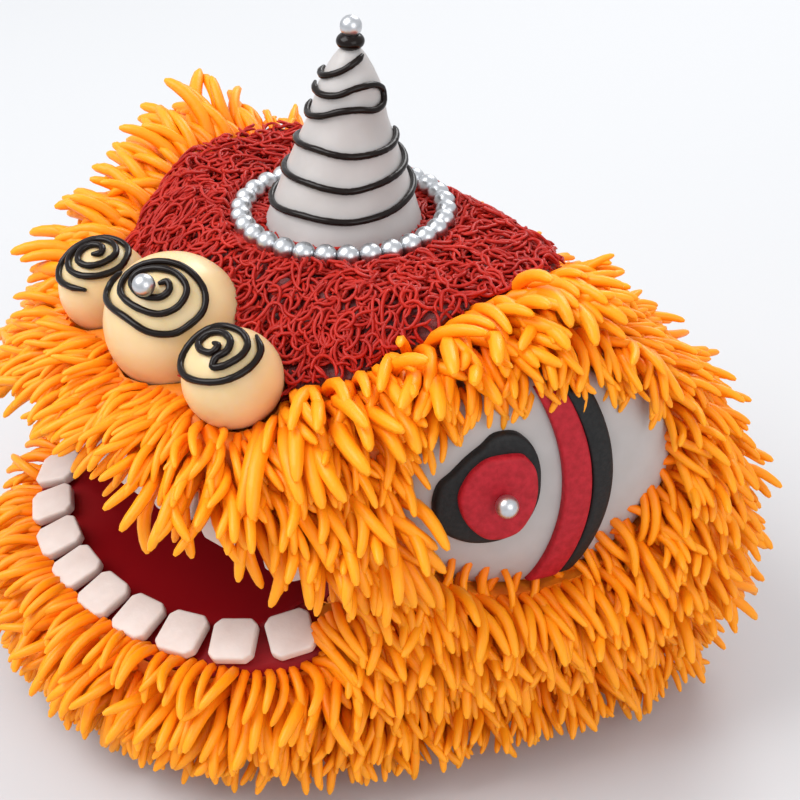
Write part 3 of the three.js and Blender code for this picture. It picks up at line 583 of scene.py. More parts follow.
def eye_rim(roots):
    """Rows of strands that stand on the lower edge of an eye's white and point away from it."""
    turn = eye_frame.to_3x3()
    for out, lift, bend, length in EYE_ROWS:
        for place, (away_u, away_v) in along_line(EYE_EDGE, STRAND["row_spacing"]):
            u, v = place.x + away_u * out, place.y + away_v * out
            if out > 1 and (u / EYE["half_width"]) ** 2 + (v / EYE["half_height"]) ** 2 > 1.2:
                continue
            root = eye_frame @ Vector((u, v, eye_height(u, v) - 0.2))
            lifted = math.radians(lift)
            aim = turn @ Vector((away_u * math.cos(lifted), away_v * math.cos(lifted), math.sin(lifted)))
            both_sides(roots, root, aim, bend, length, EYE_SPACING)


def eye_overhang(roots):
    """Rows of strands over the top of an eye, which hang down over its white."""
    turn = eye_frame.to_3x3()
    for out, rise, bend, length in OVERHANG:
        for place, (away_u, away_v) in along_line(EYE_TOP, APART["row"] * STRAND["row_spacing"]):
            root = eye_frame @ Vector((place.x - away_u * out, place.y - away_v * out, -1 - out))
            tilt = math.radians(rise)
            aim = turn @ Vector((-away_u * math.sin(tilt), -away_v * math.sin(tilt), math.cos(tilt)))
            both_sides(roots, root, aim, bend, length, OVERHANG_SPACING)


def fur_edges(roots, levels, low, high, strand_at):
    """A row of strands wherever a tier's fur ends, found up its side at each angle."""
    angle = -180.0
    while angle < 180:
        was, before = None, None
        for step in range(int((high - low) / SIDE_STEP) + 1):
            point = tier_point(levels, low + step * SIDE_STEP, angle)
            now = bald(point)
            if was is not None and now != was:
                edge = before if now else point
                roots.add(edge, *strand_at(edge, angle), STRAND["row_spacing"])
            was, before = now, point
        a_degree = tier_point(levels, low, angle + 0.5) - tier_point(levels, low, angle - 0.5)
        angle += ROUND_STEP / a_degree.length


def lip_row(roots):
    """Rows of strands from the lower lip's outer edge over the jaw's top, which hang over the beard."""
    slope = math.radians(LOWER_LIP["slope"])
    top = JAW_LEVELS[-1][0]
    for out, rise in LIP_ROWS:
        angle = -math.radians(LOWER_LIP["reach"])
        while angle < math.radians(LOWER_LIP["reach"]):
            point, _, outward, upward = arch_frame(LOWER_LIP, angle)
            wide = outward * math.cos(slope) - upward * math.sin(slope)
            root = point + wide * (LOWER_LIP["width"] / 2 + out) + upward * LIP_STRAND["raised"]
            if out < 1 or in_tier(JAW_LEVELS, (root.x, root.y, top)):
                root.z = max(root.z, top + LIP_STRAND["raised"])
                roots.add(root, aimed(outward, rise), LIP_STRAND["bend"], LIP_STRAND["length"],
                          APART["row"] * STRAND["row_spacing"])
            angle += STRAND["row_spacing"] / math.hypot(math.cos(angle) * LOWER_LIP["half_width"],
                                                        math.sin(angle) * LOWER_LIP["depth"])


def tier_angle(levels, point):
    """The angle round a tier's outline at a point's height that is in line with the point."""
    _, half_width, widest, front, back = mixed(levels, point[2])
    reach = widest - front if point[1] < widest else back - widest
    along = (point[1] - widest) / reach
    narrowed = half_width * (1 + OUTLINE_TAPER * max(-1, min(0, along)))
    return math.degrees(math.atan2(along, point[0] / narrowed))


def combed(outward, angle):
    """The direction out of a tier, turned towards the eye in front of it."""
    share = max(0, 1 - abs(abs(angle + 90) - COMB["middle"]) / COMB["reach"])
    turn = math.radians(COMB["turn"] * share) * (1 if angle > -90 else -1)
    return Matrix.Rotation(turn, 3, "Z") @ outward


def head_strand(point, angle):
    """The aim, bend and length of a strand on the upper tier."""
    _, rise, bend, length = mixed(HEAD_FUR, point.z)
    share = (math.sin(math.radians(angle)) - NAPE_SHARE["from"]) / NAPE_SHARE["over"]
    share = min(1, max(0, share))
    _, flat_rise, flat_bend, flat_length = mixed(NAPE_FUR, point.z)
    outward = combed(tier_outward(HEAD_LEVELS, point.z, angle), angle)
    if point.z > CREST_LOW:
        length *= tuft(point.y)
    elif point.y < FRINGE["back"] and FRINGE["low"] < point.z < FRINGE["high"]:
        length *= FRINGE["longer"]
    return (aimed(outward, rise + (flat_rise - rise) * share), bend + (flat_bend - bend) * share,
            length + (flat_length - length) * share)


def side_places(levels, low, high, chance):
    """Places all over a tier's side, in uneven rows."""
    z = low
    while z < high:
        angle = chance.uniform(-180, -178)
        while angle < 180:
            level = z + chance.uniform(-0.5, 0.5)
            yield tier_point(levels, level, angle)
            a_degree = tier_point(levels, z, angle + 0.5) - tier_point(levels, z, angle - 0.5)
            angle += STRAND["spacing"] * chance.uniform(*NEXT_APART) / a_degree.length
        z += ROWS_APART * STRAND["spacing"]


def top_places(chance):
    """Places all over the upper tier's top, in uneven rows."""
    y, last = TOP_ROWS
    while y < last:
        x = -TOP_REACH + chance.uniform(0, 2)
        while x < TOP_REACH:
            place = (x, y + chance.uniform(-0.5, 0.5))
            if in_tier(HEAD_LEVELS, (*place, 70)):
                yield Vector((*place, cap_height(*place)))
            x += STRAND["spacing"] * chance.uniform(*NEXT_APART)
        y += ROWS_APART * STRAND["spacing"]


def head_strands():
    """The strands of the upper tier: those round its edges first, then those of its sides and top."""
    chance = random.Random(11)
    roots = Roots()
    field_crest(roots)
    eye_rim(roots)
    eye_overhang(roots)
    fur_edges(roots, HEAD_LEVELS, *HEAD_EDGES, head_strand)
    for point in [*side_places(HEAD_LEVELS, *HEAD_SIDES, chance), *top_places(chance)]:
        if not bald(point):
            spacing = STRAND["spacing"] * APART["nape" if point.y > NAPE_FRONT else "head"]
            roots.add(point, *head_strand(point, tier_angle(HEAD_LEVELS, point)), spacing)
    return roots.strands


def jaw_strand(point, angle):
    """The aim, bend and length of a strand on the lower tier, which is longest under the mouth."""
    _, rise, bend, length = mixed(JAW_FUR, point.z)
    share = min(1, max(0, (point.y - JAW_SIDE["front"]) / (JAW_SIDE["back"] - JAW_SIDE["front"])))
    share *= min(1, max(0, (point.z - JAW_SIDE["low"]) / (JAW_SIDE["high"] - JAW_SIDE["low"])))
    rise += (JAW_SIDE["rise"] - rise) * share
    length += (JAW_SIDE["length"] - length) * share
    return aimed(tier_outward(JAW_LEVELS, point.z, angle), rise), bend, length


def jaw_strands():
    """The strands of the lower tier."""
    chance = random.Random(12)
    roots = Roots()
    lip_row(roots)
    for point in side_places(JAW_LEVELS, *JAW_SIDES, chance):
        if not bald(point):
            spacing = STRAND["spacing"] * APART["jaw"]
            roots.add(point, *jaw_strand(point, tier_angle(JAW_LEVELS, point)), spacing)
    return roots.strands


STRAND_ATTRIBUTES = {"aim": "FLOAT_VECTOR", "droop": "FLOAT_VECTOR", "size": "FLOAT", "kind": "INT"}
# A strand's thickness along it, as shares of its length and of its root: its two ends, then between them.
TAPER = ((0, 1.0), (1, 0.28), (0.2, 1.03), (0.5, 0.97), (0.75, 0.86), (0.9, 0.72), (0.97, 0.52))


def strand_tree():
    """Strands of icing on the points of a mesh, each along its point's aim and bent to its droop."""
    tree = new_tree("piped fur", [
        ("Strand Length", "NodeSocketFloat", STRAND["length"] * MM),
        ("Root Radius", "NodeSocketFloat", STRAND["radius"] * MM),
        ("Wander", "NodeSocketFloat", 0.3),
        ("Seed", "NodeSocketInt", 1),
        ("Material", "NodeSocketMaterial", None),
    ])
    given = add(tree, "NodeGroupInput")
    length, girth = given.outputs["Strand Length"], given.outputs["Root Radius"]
    wander = given.outputs["Wander"]
    named = {}
    for label, kind in STRAND_ATTRIBUTES.items():
        read = add(tree, "GeometryNodeInputNamedAttribute", {"Name": label}, data_type=kind)
        named[label] = read.outputs[0]
    turn = add(tree, "FunctionNodeAxesToRotation",
               {"Primary Axis": named["aim"], "Secondary Axis": named["droop"]},
               primary_axis="Z", secondary_axis="X")
    limit = add(tree, "ShaderNodeCombineXYZ", {0: wander, 1: wander, 2: sums(tree, "MULTIPLY", wander, 2.0)})
    least = add(tree, "ShaderNodeVectorMath", {0: limit.outputs[0], "Scale": -1.0}, operation="SCALE")
    swing = add(tree, "FunctionNodeRandomValue",
                {0: least.outputs[0], 1: limit.outputs[0], 8: given.outputs["Seed"]},
                data_type="FLOAT_VECTOR")
    euler = add(tree, "FunctionNodeEulerToRotation", {0: swing.outputs[0]})
    turned = add(tree, "FunctionNodeRotateRotation", {0: turn.outputs[0], 1: euler.outputs[0]},
                 rotation_space="LOCAL")
    every = add(tree, "GeometryNodeJoinGeometry")
    for kind, degrees in enumerate(BENDS):
        bend = math.radians(degrees)
        line = add(tree, "GeometryNodeCurvePrimitiveLine", {"End": (0, 0, 1)})
        rings = add(tree, "GeometryNodeResampleCurve", {"Curve": line.outputs[0], "Count": STRAND_RINGS})
        share = add(tree, "GeometryNodeSplineParameter").outputs["Factor"]
        left = sums(tree, "POWER", sums(tree, "SUBTRACT", 1.0, share), TIP_CROWDING)
        gone = sums(tree, "SUBTRACT", 1.0, left)
        along = add(tree, "GeometryNodeStoreNamedAttribute",
                    {"Geometry": rings.outputs[0], "Name": "along", "Value": gone},
                    data_type="FLOAT", domain="POINT")
        t = add(tree, "GeometryNodeInputNamedAttribute", {"Name": "along"}, data_type="FLOAT").outputs[0]
        angle = sums(tree, "MULTIPLY", t, bend)
        reach = sums(tree, "DIVIDE", length, bend)
        place = add(tree, "ShaderNodeCombineXYZ", {
            0: sums(tree, "MULTIPLY", reach, sums(tree, "SUBTRACT", 1.0, sums(tree, "COSINE", angle))),
            1: sums(tree, "MULTIPLY", sums(tree, "MULTIPLY", length, SWAYS[kind]),
                    sums(tree, "SINE", sums(tree, "MULTIPLY", t, SWAY_TURN))),
            2: sums(tree, "MULTIPLY", reach, sums(tree, "SINE", angle)),
        })
        curve = add(tree, "GeometryNodeSetPosition",
                    {"Geometry": along.outputs[0], "Position": place.outputs[0]})
        taper = add(tree, "ShaderNodeFloatCurve", {"Value": t})
        profile = taper.mapping.curves[0]
        for number, (at, value) in enumerate(TAPER):
            if number < 2:
                profile.points[number].location = (at, value)
            else:
                profile.points.new(at, value)
        taper.mapping.update()
        thick = add(tree, "GeometryNodeSetCurveRadius",
                    {"Curve": curve.outputs[0], "Radius": sums(tree, "MULTIPLY", girth, taper.outputs[0])})
        ring = add(tree, "GeometryNodeCurvePrimitiveCircle", {"Resolution": STRAND_SIDES, "Radius": 1.0})
        skin = add(tree, "GeometryNodeCurveToMesh",
                   {"Curve": thick.outputs[0], "Profile Curve": ring.outputs[0], "Fill Caps": True})
        if "Scale" in skin.inputs:
            radius = add(tree, "GeometryNodeInputRadius")
            tree.links.new(radius.outputs[0], skin.inputs["Scale"])
        chosen = add(tree, "FunctionNodeCompare", {2: named["kind"], 3: kind},
                     data_type="INT", operation="EQUAL")
        strands = add(tree, "GeometryNodeInstanceOnPoints", {
            "Points": given.outputs["Geometry"], "Selection": chosen.outputs[0], "Instance": skin.outputs[0],
            "Rotation": turned.outputs[0], "Scale": named["size"]})
        tree.links.new(strands.outputs[0], every.inputs[0])
    solid = add(tree, "GeometryNodeRealizeInstances", {"Geometry": every.outputs[0]})
    smooth = add(tree, "GeometryNodeSetShadeSmooth", {"Geometry": solid.outputs[0]})
    painted = add(tree, "GeometryNodeSetMaterial",
                  {"Geometry": smooth.outputs[0], "Material": given.outputs["Material"]})
    add(tree, "NodeGroupOutput", {"Geometry": painted.outputs[0]})
    return tree


piped_fur = strand_tree()


def fur_orange():
    """Orange buttercream, darker and redder at the strands' roots as painted shade where they crowd together,
    and paler towards their tips as painted light.
    """
    made = finish("piped_buttercream", (0.9, 0.3, 0.01), 0.4, glow=0.15, glow_reach=(1.0, 0.7, 0.2),
                  specular=0.3)
    nodes, links = made.node_tree.nodes, made.node_tree.links
    # The colour along each strand is painted light and shade: darker and redder at its root as painted shade,
    # paler at its tip as painted light.
    along = nodes.new("ShaderNodeAttribute")
    along.attribute_name = "along"
    ramp = nodes.new("ShaderNodeValToRGB")
    ramp.color_ramp.elements[0].position = 0.0
    ramp.color_ramp.elements[0].color = (0.92, 0.19, 0.001, 1)
    ramp.color_ramp.elements[1].position = 0.45
    ramp.color_ramp.elements[1].color = (1.0, 0.315, 0.004, 1)
    tip = ramp.color_ramp.elements.new(1.0)
    tip.color = (1.0, 0.355, 0.008, 1)
    links.new(along.outputs["Fac"], ramp.inputs["Fac"])
    links.new(ramp.outputs["Color"], nodes["Principled BSDF"].inputs["Base Color"])
    roughen(made, 0.9, 0.12, strength=0.6, detail=2)
    return made


fur_icing = fur_orange()


def fur(name, strands, seed, *nodes):
    """One part of the fur from its strands, each a little uneven, which stands for those CAD nodes."""
    chance = random.Random(seed)
    points, aims, droops, sizes, kinds = [], [], [], [], []
    for point, aim, bend, length in strands:
        turned = aim + Vector((0, 0, math.radians(chance.uniform(-UNEVEN["turn"], UNEVEN["turn"]))))
        turned.normalize()
        down = Vector((0, 0, -1)) - turned * -turned.z
        points.append(placed(point - turned * STRAND["sunk"]))
        aims.extend(turned)
        droops.extend(down.normalized())
        sizes.append(length / STRAND["length"] * chance.uniform(*UNEVEN["length"]))
        wanted = bend + chance.uniform(-UNEVEN["bend"], UNEVEN["bend"])
        kinds.append(min(range(len(BENDS)), key=lambda kind: abs(BENDS[kind] - wanted)))
    mesh = bpy.data.meshes.new(name)
    mesh.from_pydata(points, [], [])
    for (label, kind), values in zip(STRAND_ATTRIBUTES.items(), (aims, droops, sizes, kinds)):
        made = mesh.attributes.new(label, kind, "POINT")
        made.data.foreach_set("vector" if kind == "FLOAT_VECTOR" else "value", values)
    piece = grown(name, mesh, piped_fur, {"Material": fur_icing, "Seed": seed})
    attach(piece, "root")
    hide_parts(*nodes)


def part_of_head(point):
    """Which part of the head's fur a root belongs to."""
    if point.y > NAPE_FRONT:
        return "nape"
    side = "left" if point.x > 0 else "right"
    if point.z < EYE["z"]:
        return f"cheek_{side}"
    return "muzzle" if point.y < MUZZLE_BACK else f"brow_{side}"


on_head = head_strands()
for number, part in enumerate(("nape", "cheek_left", "cheek_right", "muzzle", "brow_left", "brow_right")):
    node = part.replace("_", "_fur_") if "_" in part else f"{part}_fur"
    strands = [strand for strand in on_head if part_of_head(strand[0]) == part]
    fur(f"{part}_strands", strands, 20 + number, node)
fur("beard_strands", jaw_strands(), 30, "beard_fur")

# The eyes: each is a domed button of white fondant sunk in the cake. On it lie a red and a black band down
# its back half, a black pupil and a red iris, all cut from rolled fondant, with a silver pearl pressed into
# the iris. The bands give u at their bottom, middle and top.
RED_BAND = {"inner": (-1.2, 3.7, -1.5), "outer": (4.4, 9.1, 3.5), "half_height": 20.4}
BLACK_BAND = {"inner": (4.5, 9.2, 3.6), "outer": (7, 13.1, 8.2), "half_height": 19.7}
PUPIL = [  # v, and the u of the edge towards the front and of the one towards the back
    (-7.8, -11.5, -8), (-6.7, -15, -5), (-4, -18.5, -2.6), (0.3, -19.8, -1), (4.8, -19, -0.8),
    (7.3, -16.5, -1.1), (9.8, -14, -1.9), (11.8, -11.3, -3.2), (13.6, -9, -5.5),
]
IRIS = [
    (-6.2, -9.8, -7.2), (-5.1, -12, -4.8), (-2.2, -14.4, -3), (0.8, -15.6, -2.1), (3.8, -15.8, -1.9),
    (6.8, -14.5, -2.3), (8.8, -12.8, -3.4), (10.2, -10.2, -5.2),
]
EYE_LIFT, INLAY = 0.4, 1.2  # how high a cut piece starts over the dome, and its thickness
CUT_EDGE = [(0, -0.4), (0, 0.0), (0, 0.45), (0.12, 0.75), (0.4, 0.95), (1, 1)]  # mm in, share of its height
BAND_ROWS = 40
BAND_ENDS = [(-1, 0.02), (-1, 0.5), (-0.99, 0.8), (-0.975, 0.95)]  # place along it, share of its height
BUTTON_DEPTH = 7
DOME_RINGS, DOME_SIDES = 14, 72
DOME_TOP = 88  # degrees up the dome at which its last ring lies


def eye_piece(name, points, faces, made, node, slot):
    """A mesh in the eye's own frame as two pieces, one on each side of the head."""
    for side in ("left", "right"):
        sign = 1 if side == "left" else -1
        placed_points = []
        for point in points:
            x, y, z = eye_frame @ Vector(point)
            placed_points.append(placed((sign * x, y, z)))
        mesh = bpy.data.meshes.new(f"{name}_{side}")
        mesh.from_pydata(placed_points, [], faces)
        shape = bmesh.new()
        shape.from_mesh(mesh)
        bmesh.ops.remove_doubles(shape, verts=shape.verts, dist=1e-7)
        bmesh.ops.recalc_face_normals(shape, faces=shape.faces)
        shape.to_mesh(mesh)
        shape.free()
        mesh.materials.append(made)
        mesh.shade_smooth()
        mesh.set_sharp_from_angle(angle=math.radians(60))
        piece = new_piece(f"{name}_{side}", mesh)
        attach(piece, "root")
        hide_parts(f"{node}_{side}")


def grid_faces(rings, count):
    """Faces between rings of count points, with both ends capped."""
    faces = []
    for ring in range(rings - 1):
        for i in range(count):
            a, b = ring * count + i, ring * count + (i + 1) % count
            faces.append((a, b, b + count, a + count))
    faces.append(tuple(reversed(range(count))))
    faces.append(tuple(range((rings - 1) * count, rings * count)))
    return faces


white_fondant = finish("white_fondant", (0.5, 0.47, 0.46), 0.45, glow=0.3, glow_reach=(3, 2.5, 2),
                       specular=0.35)
mottle(white_fondant, 9, (0.43, 0.395, 0.38), (0.49, 0.455, 0.44))
roughen(white_fondant, 5, 0.12)
red_fondant = finish("red_fondant", (0.4, 0.006, 0.014), 0.6, glow=0.1, specular=0.3)
mottle(red_fondant, 1.2, (0.34, 0.005, 0.012), (0.48, 0.012, 0.024))
roughen(red_fondant, 0.7, 0.08)
black_fondant = finish("black_fondant", (0.012, 0.011, 0.011), 0.55, specular=0.3)
mottle(black_fondant, 0.8, (0.006, 0.006, 0.006), (0.014, 0.013, 0.013))
roughen(black_fondant, 0.6, 0.08)

dome = []
for number in range(DOME_RINGS + 1):
    polar = math.radians(DOME_TOP) * max(0, number - 1) / (DOME_RINGS - 1)
    w = -BUTTON_DEPTH if number == 0 else EYE["bulge"] * math.sin(polar)
    share = math.cos(polar)
    for i in range(DOME_SIDES):
        a = 2 * math.pi * i / DOME_SIDES
        u, v = share * EYE["half_width"] * math.cos(a), share * EYE["half_height"] * math.sin(a)
        dome.append((u, v, w))
eye_piece("eye_button", dome, grid_faces(DOME_RINGS + 1, DOME_SIDES), white_fondant,
          "eye_white", "white_fondant")


def curve_through(a, b, c, d, t):
    """A number between b and c on a smooth curve through four numbers."""
    return 0.5 * (2 * b + (c - a) * t + (2 * a - 5 * b + 4 * c - d) * t * t + (3 * b - a - 3 * c + d) * t**3)


def smoothed(rows, steps):
    """Points on a smooth curve through rows of numbers."""
    ends = [rows[0]] + list(rows) + [rows[-1]]
    made = []
    for i in range(1, len(ends) - 2):
        for step in range(steps):
            made.append([curve_through(*four, step / steps) for four in zip(*ends[i - 1:i + 3])])
    return made + [list(rows[-1])]


def cut_rings(outline, lift):
    """Rings of a cut shape on the dome, from its foot up its edge and in to its middle."""
    count = len(outline)
    inward = []
    for i in range(count):
        (ax, ay), (bx, by) = outline[i - 1], outline[(i + 1) % count]
        inward.append(Vector((ay - by, bx - ax)).normalized())
    middle = Vector((sum(u for u, _ in outline), sum(v for _, v in outline))) / count
    rings = []
    for inset, share in CUT_EDGE:
        ring = [Vector(place) + way * inset for place, way in zip(outline, inward)]
        rings.append([(u, v, eye_height(u, v) + lift + INLAY * share) for u, v in ring])
    for share in (0.3, 0.6, 0.85):
        inner = [place.lerp(middle, share) for place in ring]
        rings.append([(u, v, eye_height(u, v) + lift + INLAY) for u, v in inner])
    return rings


def leaf_outline(rows):
    """The outline of a shape given by its two edges at each height, from its lowest row and round."""
    points = [(back, v) for v, _, back in rows] + [(front, v) for v, front, _ in reversed(rows)]
    closed = smoothed([points[-1]] + points + points[:2], 4)
    return closed[4:-5]


def band_edge(edge, height):
    """The u of a band's edge at a height from -1 to 1."""
    bottom, middle, top = edge
    return middle + height * (top - bottom) / 2 + height**2 * ((top + bottom) / 2 - middle)


def band_rings(band):
    """Closed rings across a band, up its length, with its edges and ends rounded."""
    rings = []
    heights = BAND_ENDS + [(-0.95 + 1.9 * i / BAND_ROWS, 1.0) for i in range(BAND_ROWS + 1)]
    heights += [(-height, share) for height, share in reversed(BAND_ENDS)]
    for height, share in heights:
        inner, outer = band_edge(band["inner"], height), band_edge(band["outer"], height)
        v = height * band["half_height"]
        width = outer - inner
        across = [(0, 0), (0, 0.5), (0.15, 0.8), (0.5, 0.97), (width * 0.35, 1), (width * 0.5, 1)]
        across += [(width - x, s) for x, s in reversed(across[:-1])]
        top = [(inner + x, v, eye_height(inner + x, v) + EYE_LIFT + INLAY * s * share) for x, s in across]
        three = (top[-1], top[len(top) // 2], top[0])
        under = [(u, v, eye_height(u, v) + EYE_LIFT - 0.5) for u, v, _ in three]
        rings.append(top + under)
    return rings


SECOND_LIFT = EYE_LIFT + INLAY + 0.3  # the iris lies on the pupil
for node, rings, made, slot in (
    ("eye_red_band", band_rings(RED_BAND), red_fondant, "red_fondant"),
    ("eye_black_band", band_rings(BLACK_BAND), black_fondant, "black_fondant"),
    ("pupil", cut_rings(leaf_outline(PUPIL), EYE_LIFT), black_fondant, "black_fondant"),
    ("iris", cut_rings(leaf_outline(IRIS), SECOND_LIFT), red_fondant, "red_fondant"),
):
    points = [point for ring in rings for point in ring]
    eye_piece(f"{node}_cut", points, grid_faces(len(rings), len(rings[0])), made, node, slot)

# The nose: three balls of white chocolate in a row, cast in moulds, each with a swirl of dark chocolate
# piped on it from a paper cone.
NOSE_TILT = 26  # degrees, from straight up towards the front
LINE = 0.65  # the radius of a piped line
LINE_SIDES = 10
SWIRLS = {  # places across (x) and along (y) a ball, from the inside out, seen straight down on its swirl
    "middle": [
        (4.4, 0.2), (5.2, 1.6), (6.6, 0.6), (6.2, -1.6), (3.4, -3.2), (0.2, -2.8), (-1, -0.8), (0.8, 1.8),
        (4.6, 3.9), (8, 3.1), (9.2, -0.4), (7.6, -3.8), (3.4, -5.4), (-1, -5), (-3, -2.4), (-2.2, 1),
        (0.8, 4.2), (4.6, 6), (8.6, 5.6), (11, 3.2), (11.6, -0.3), (10.6, -4.2), (7.4, -7), (2.6, -7.7),
        (-2.6, -7.6), (-6.4, -6), (-7.6, -3.6), (-6.2, -1.4),
    ],
    "left": [
        (0.3, 0.4), (1.7, 0.5), (1.6, -1.2), (-0.6, -1.8), (-2.7, -0.8), (-2.6, 1.6), (-0.4, 3), (2.2, 2.7),
        (3.5, 0.8), (3, -1.4), (3.6, -2.8), (5, -1.2), (5.5, 1.8), (4.3, 4.3), (1.6, 5.4), (-1.6, 4.8),
        (-4.6, 3.4), (-6.2, 1), (-6.6, -2), (-5, -5), (-1.6, -6.5), (2.2, -6), (5.4, -4), (7.1, -1),
        (7.2, 2.4), (5.6, 5.4), (2.6, 7),
    ],
    "right": [
        (1.6, 1), (2.6, 2.4), (1.2, 3.6), (-0.8, 2.6), (-1.2, 0.2), (0.6, -1.6), (3.2, -1), (4.6, 1.4),
        (4, 4.4), (1.2, 5.8), (-2, 4.8), (-3.4, 1.6), (-2.8, -1.8), (-0.2, -3.7), (3.2, -3.3), (5.8, -1),
        (6.6, 2.4), (5.2, 5.4), (2.4, 7.4), (-1.6, 7), (-4.6, 4.2), (-5.6, 0.4), (-5.4, -3.4), (-2.2, -6),
        (2, -6), (5.2, -4.6),
    ],
}


def ball_mesh(name, centre, radii, around, down, made):
    """A smooth ball, or one flattened by its three radii, as a new piece."""
    shape = bmesh.new()
    bmesh.ops.create_uvsphere(shape, u_segments=around, v_segments=down, radius=1)
    for vertex in shape.verts:
        scaled = [part * radius for part, radius in zip(vertex.co, radii)]
        vertex.co = placed([a + b for a, b in zip(centre, scaled)])
    mesh = bpy.data.meshes.new(name)
    shape.to_mesh(mesh)
    shape.free()
    mesh.materials.append(made)
    mesh.shade_smooth()
    piece = new_piece(name, mesh)
    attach(piece, "root")
    return piece


def tapered(points, radius, chance):
    """A piped line's points with its radius at each, thinner at both ends."""
    last = len(points) - 1
    return [(point, radius * min(1, 0.45 + i / 7, 0.45 + (last - i) / 7) * chance.uniform(0.95, 1.06))
            for i, point in enumerate(points)]


ball_cream = finish("white_chocolate", (0.74, 0.54, 0.28), 0.32, glow=0.45, glow_reach=(4, 2.5, 1),
                    specular=0.4)
mottle(ball_cream, 14, (0.7, 0.49, 0.24), (0.78, 0.59, 0.33))
roughen(ball_cream, 6, 0.15)
dark_chocolate = finish("dark_chocolate", (0.007, 0.003, 0.002), 0.2, specular=0.22)
for side, (x, y, z, radius) in NOSE.items():
    ball = ball_mesh(f"chocolate_ball_{side}", (x, y, z), (radius,) * 3, 48, 24, ball_cream)
    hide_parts(f"nose_ball_{side}")
    tilt = Matrix.Rotation(math.radians(NOSE_TILT), 3, "X")
    reach = radius + 0.72 * LINE
    scale = reach / (radius + LINE)
    path = []
    for across, along in smoothed(SWIRLS[side], 5):
        across, along = across * scale, along * scale
        upward = math.sqrt(reach**2 - across**2 - along**2)
        path.append(Vector((x, y, z)) + tilt @ Vector((across, along, upward)))
    line = tapered(path, LINE, random.Random(len(side)))
    swirl = piped(f"chocolate_swirl_{side}", [line], LINE_SIDES, dark_chocolate)
    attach(swirl, "root")
    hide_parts(f"nose_spiral_{side}")

# The horn: a cone of white fondant rolled by hand, which leans back a little where it stands on the
# forehead. Thin dark chocolate is piped round it in a long turn, a hairpin and a short dash, with a blob at
# its tip.
HORN_ROWS = [  # height, radius
    (0, 15), (7, 12.6), (13.5, 10), (20, 7.5), (26.5, 5.8), (29.5, 4.4), (32, 2.9), (33.2, 1.8),
]
HORN_FOOT_Z = HORN_BOX[0].z / MM
HORN_LEAN = 3.8  # degrees
LONG_LINE = [  # turn in degrees, height
    (-155, 5), (-118, 4.6), (-74, 5.6), (-30, 5.2), (5, 6), (38, 7.2), (180, 9.4), (225, 10.4),
    (280, 11.1), (324, 10.4), (365, 11.2), (400, 11.8), (540, 14.6), (590, 16), (640, 16.9), (690, 16.1),
    (740, 16.2), (785, 17.2),
]
HAIRPIN = [
    (-150, 22.4), (-118, 21.5), (-84, 22.3), (-52, 23.7), (-24, 24), (6, 23.4), (30, 24), (36, 26),
    (12, 27.6), (-26, 27.6), (-61, 26.4), (-98, 26), (-138, 26.6),
]
TOP_LINE = [(-155, 29), (-112, 28.7), (-68, 30), (-26, 31.6), (14, 32.6)]
HORN_SIDES, HORN_RINGS = 64, 44
BLOB_RADII = (2.65, 2.65, 1.75)


def horn_axis(height):
    """The horn's axis at a height over its foot."""
    return Vector((0, height * math.tan(math.radians(HORN_LEAN)), HORN_FOOT_Z + height))


rings = []
for row in range(HORN_RINGS + 2):
    height = min(1, row / HORN_RINGS) * HORN_ROWS[-1][0]
    radius = mixed(HORN_ROWS, height)[1] * (0.5 if row > HORN_RINGS else 1)
    ring = []
    for i in range(HORN_SIDES):
        a = 2 * math.pi * i / HORN_SIDES
        uneven = 1 + 0.012 * math.sin(3 * a + height * 0.2) + 0.008 * math.sin(5 * a - height * 0.35)
        upward = 0.3 if row > HORN_RINGS else 0
        out = Vector((radius * uneven * math.cos(a), radius * uneven * math.sin(a), upward))
        ring.append(placed(horn_axis(height) + out))
    rings.append(ring)
mesh = bpy.data.meshes.new("horn_cone")
mesh.from_pydata([point for ring in rings for point in ring], [], grid_faces(len(rings), HORN_SIDES))
horn_white = finish("horn_fondant", (0.52, 0.49, 0.485), 0.4, glow=0.3, glow_reach=(3, 2.5, 2),
                    specular=0.35)
mottle(horn_white, 10, (0.45, 0.42, 0.405), (0.52, 0.485, 0.47))
roughen(horn_white, 4, 0.1)
mesh.materials.append(horn_white)
mesh.shade_smooth()
mesh.set_sharp_from_angle(angle=math.radians(50))
horn = new_piece("horn_cone", mesh)
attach(horn, "root")
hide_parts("horn")


def evened(rows, step):
    """Rows of turn and height at even turns along a line that is given by a few."""
    return [mixed(rows, turn) for turn in range(rows[0][0], rows[-1][0] + 1, step)]


def horn_line(name, rows, node):
    """A line of chocolate round the horn through rows of turn and height."""
    points = []
    for turn, height in smoothed(rows, 7):
        a = math.radians(turn)
        radius = mixed(HORN_ROWS, height)[1] + 0.75 * LINE
        points.append(horn_axis(height) + Vector((radius * math.cos(a), radius * math.sin(a), 0)))
    piece = piped(name, [tapered(points, LINE, random.Random(len(rows)))], LINE_SIDES, dark_chocolate)
    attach(piece, "root")
    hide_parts(node)


horn_line("horn_long_line", evened(LONG_LINE, 20), "horn_lower_line")
horn_line("horn_hairpin", HAIRPIN, "horn_hairpin_line")
horn_line("horn_dash", TOP_LINE, "horn_top_line")
knob_low, knob_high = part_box("horn_knob")
knob_middle = (knob_low + knob_high) / 2 / MM
blob = ball_mesh("horn_blob", (0, knob_middle.y - SLIDE, knob_middle.z), BLOB_RADII, 32, 16, dark_chocolate)
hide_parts("horn_knob")

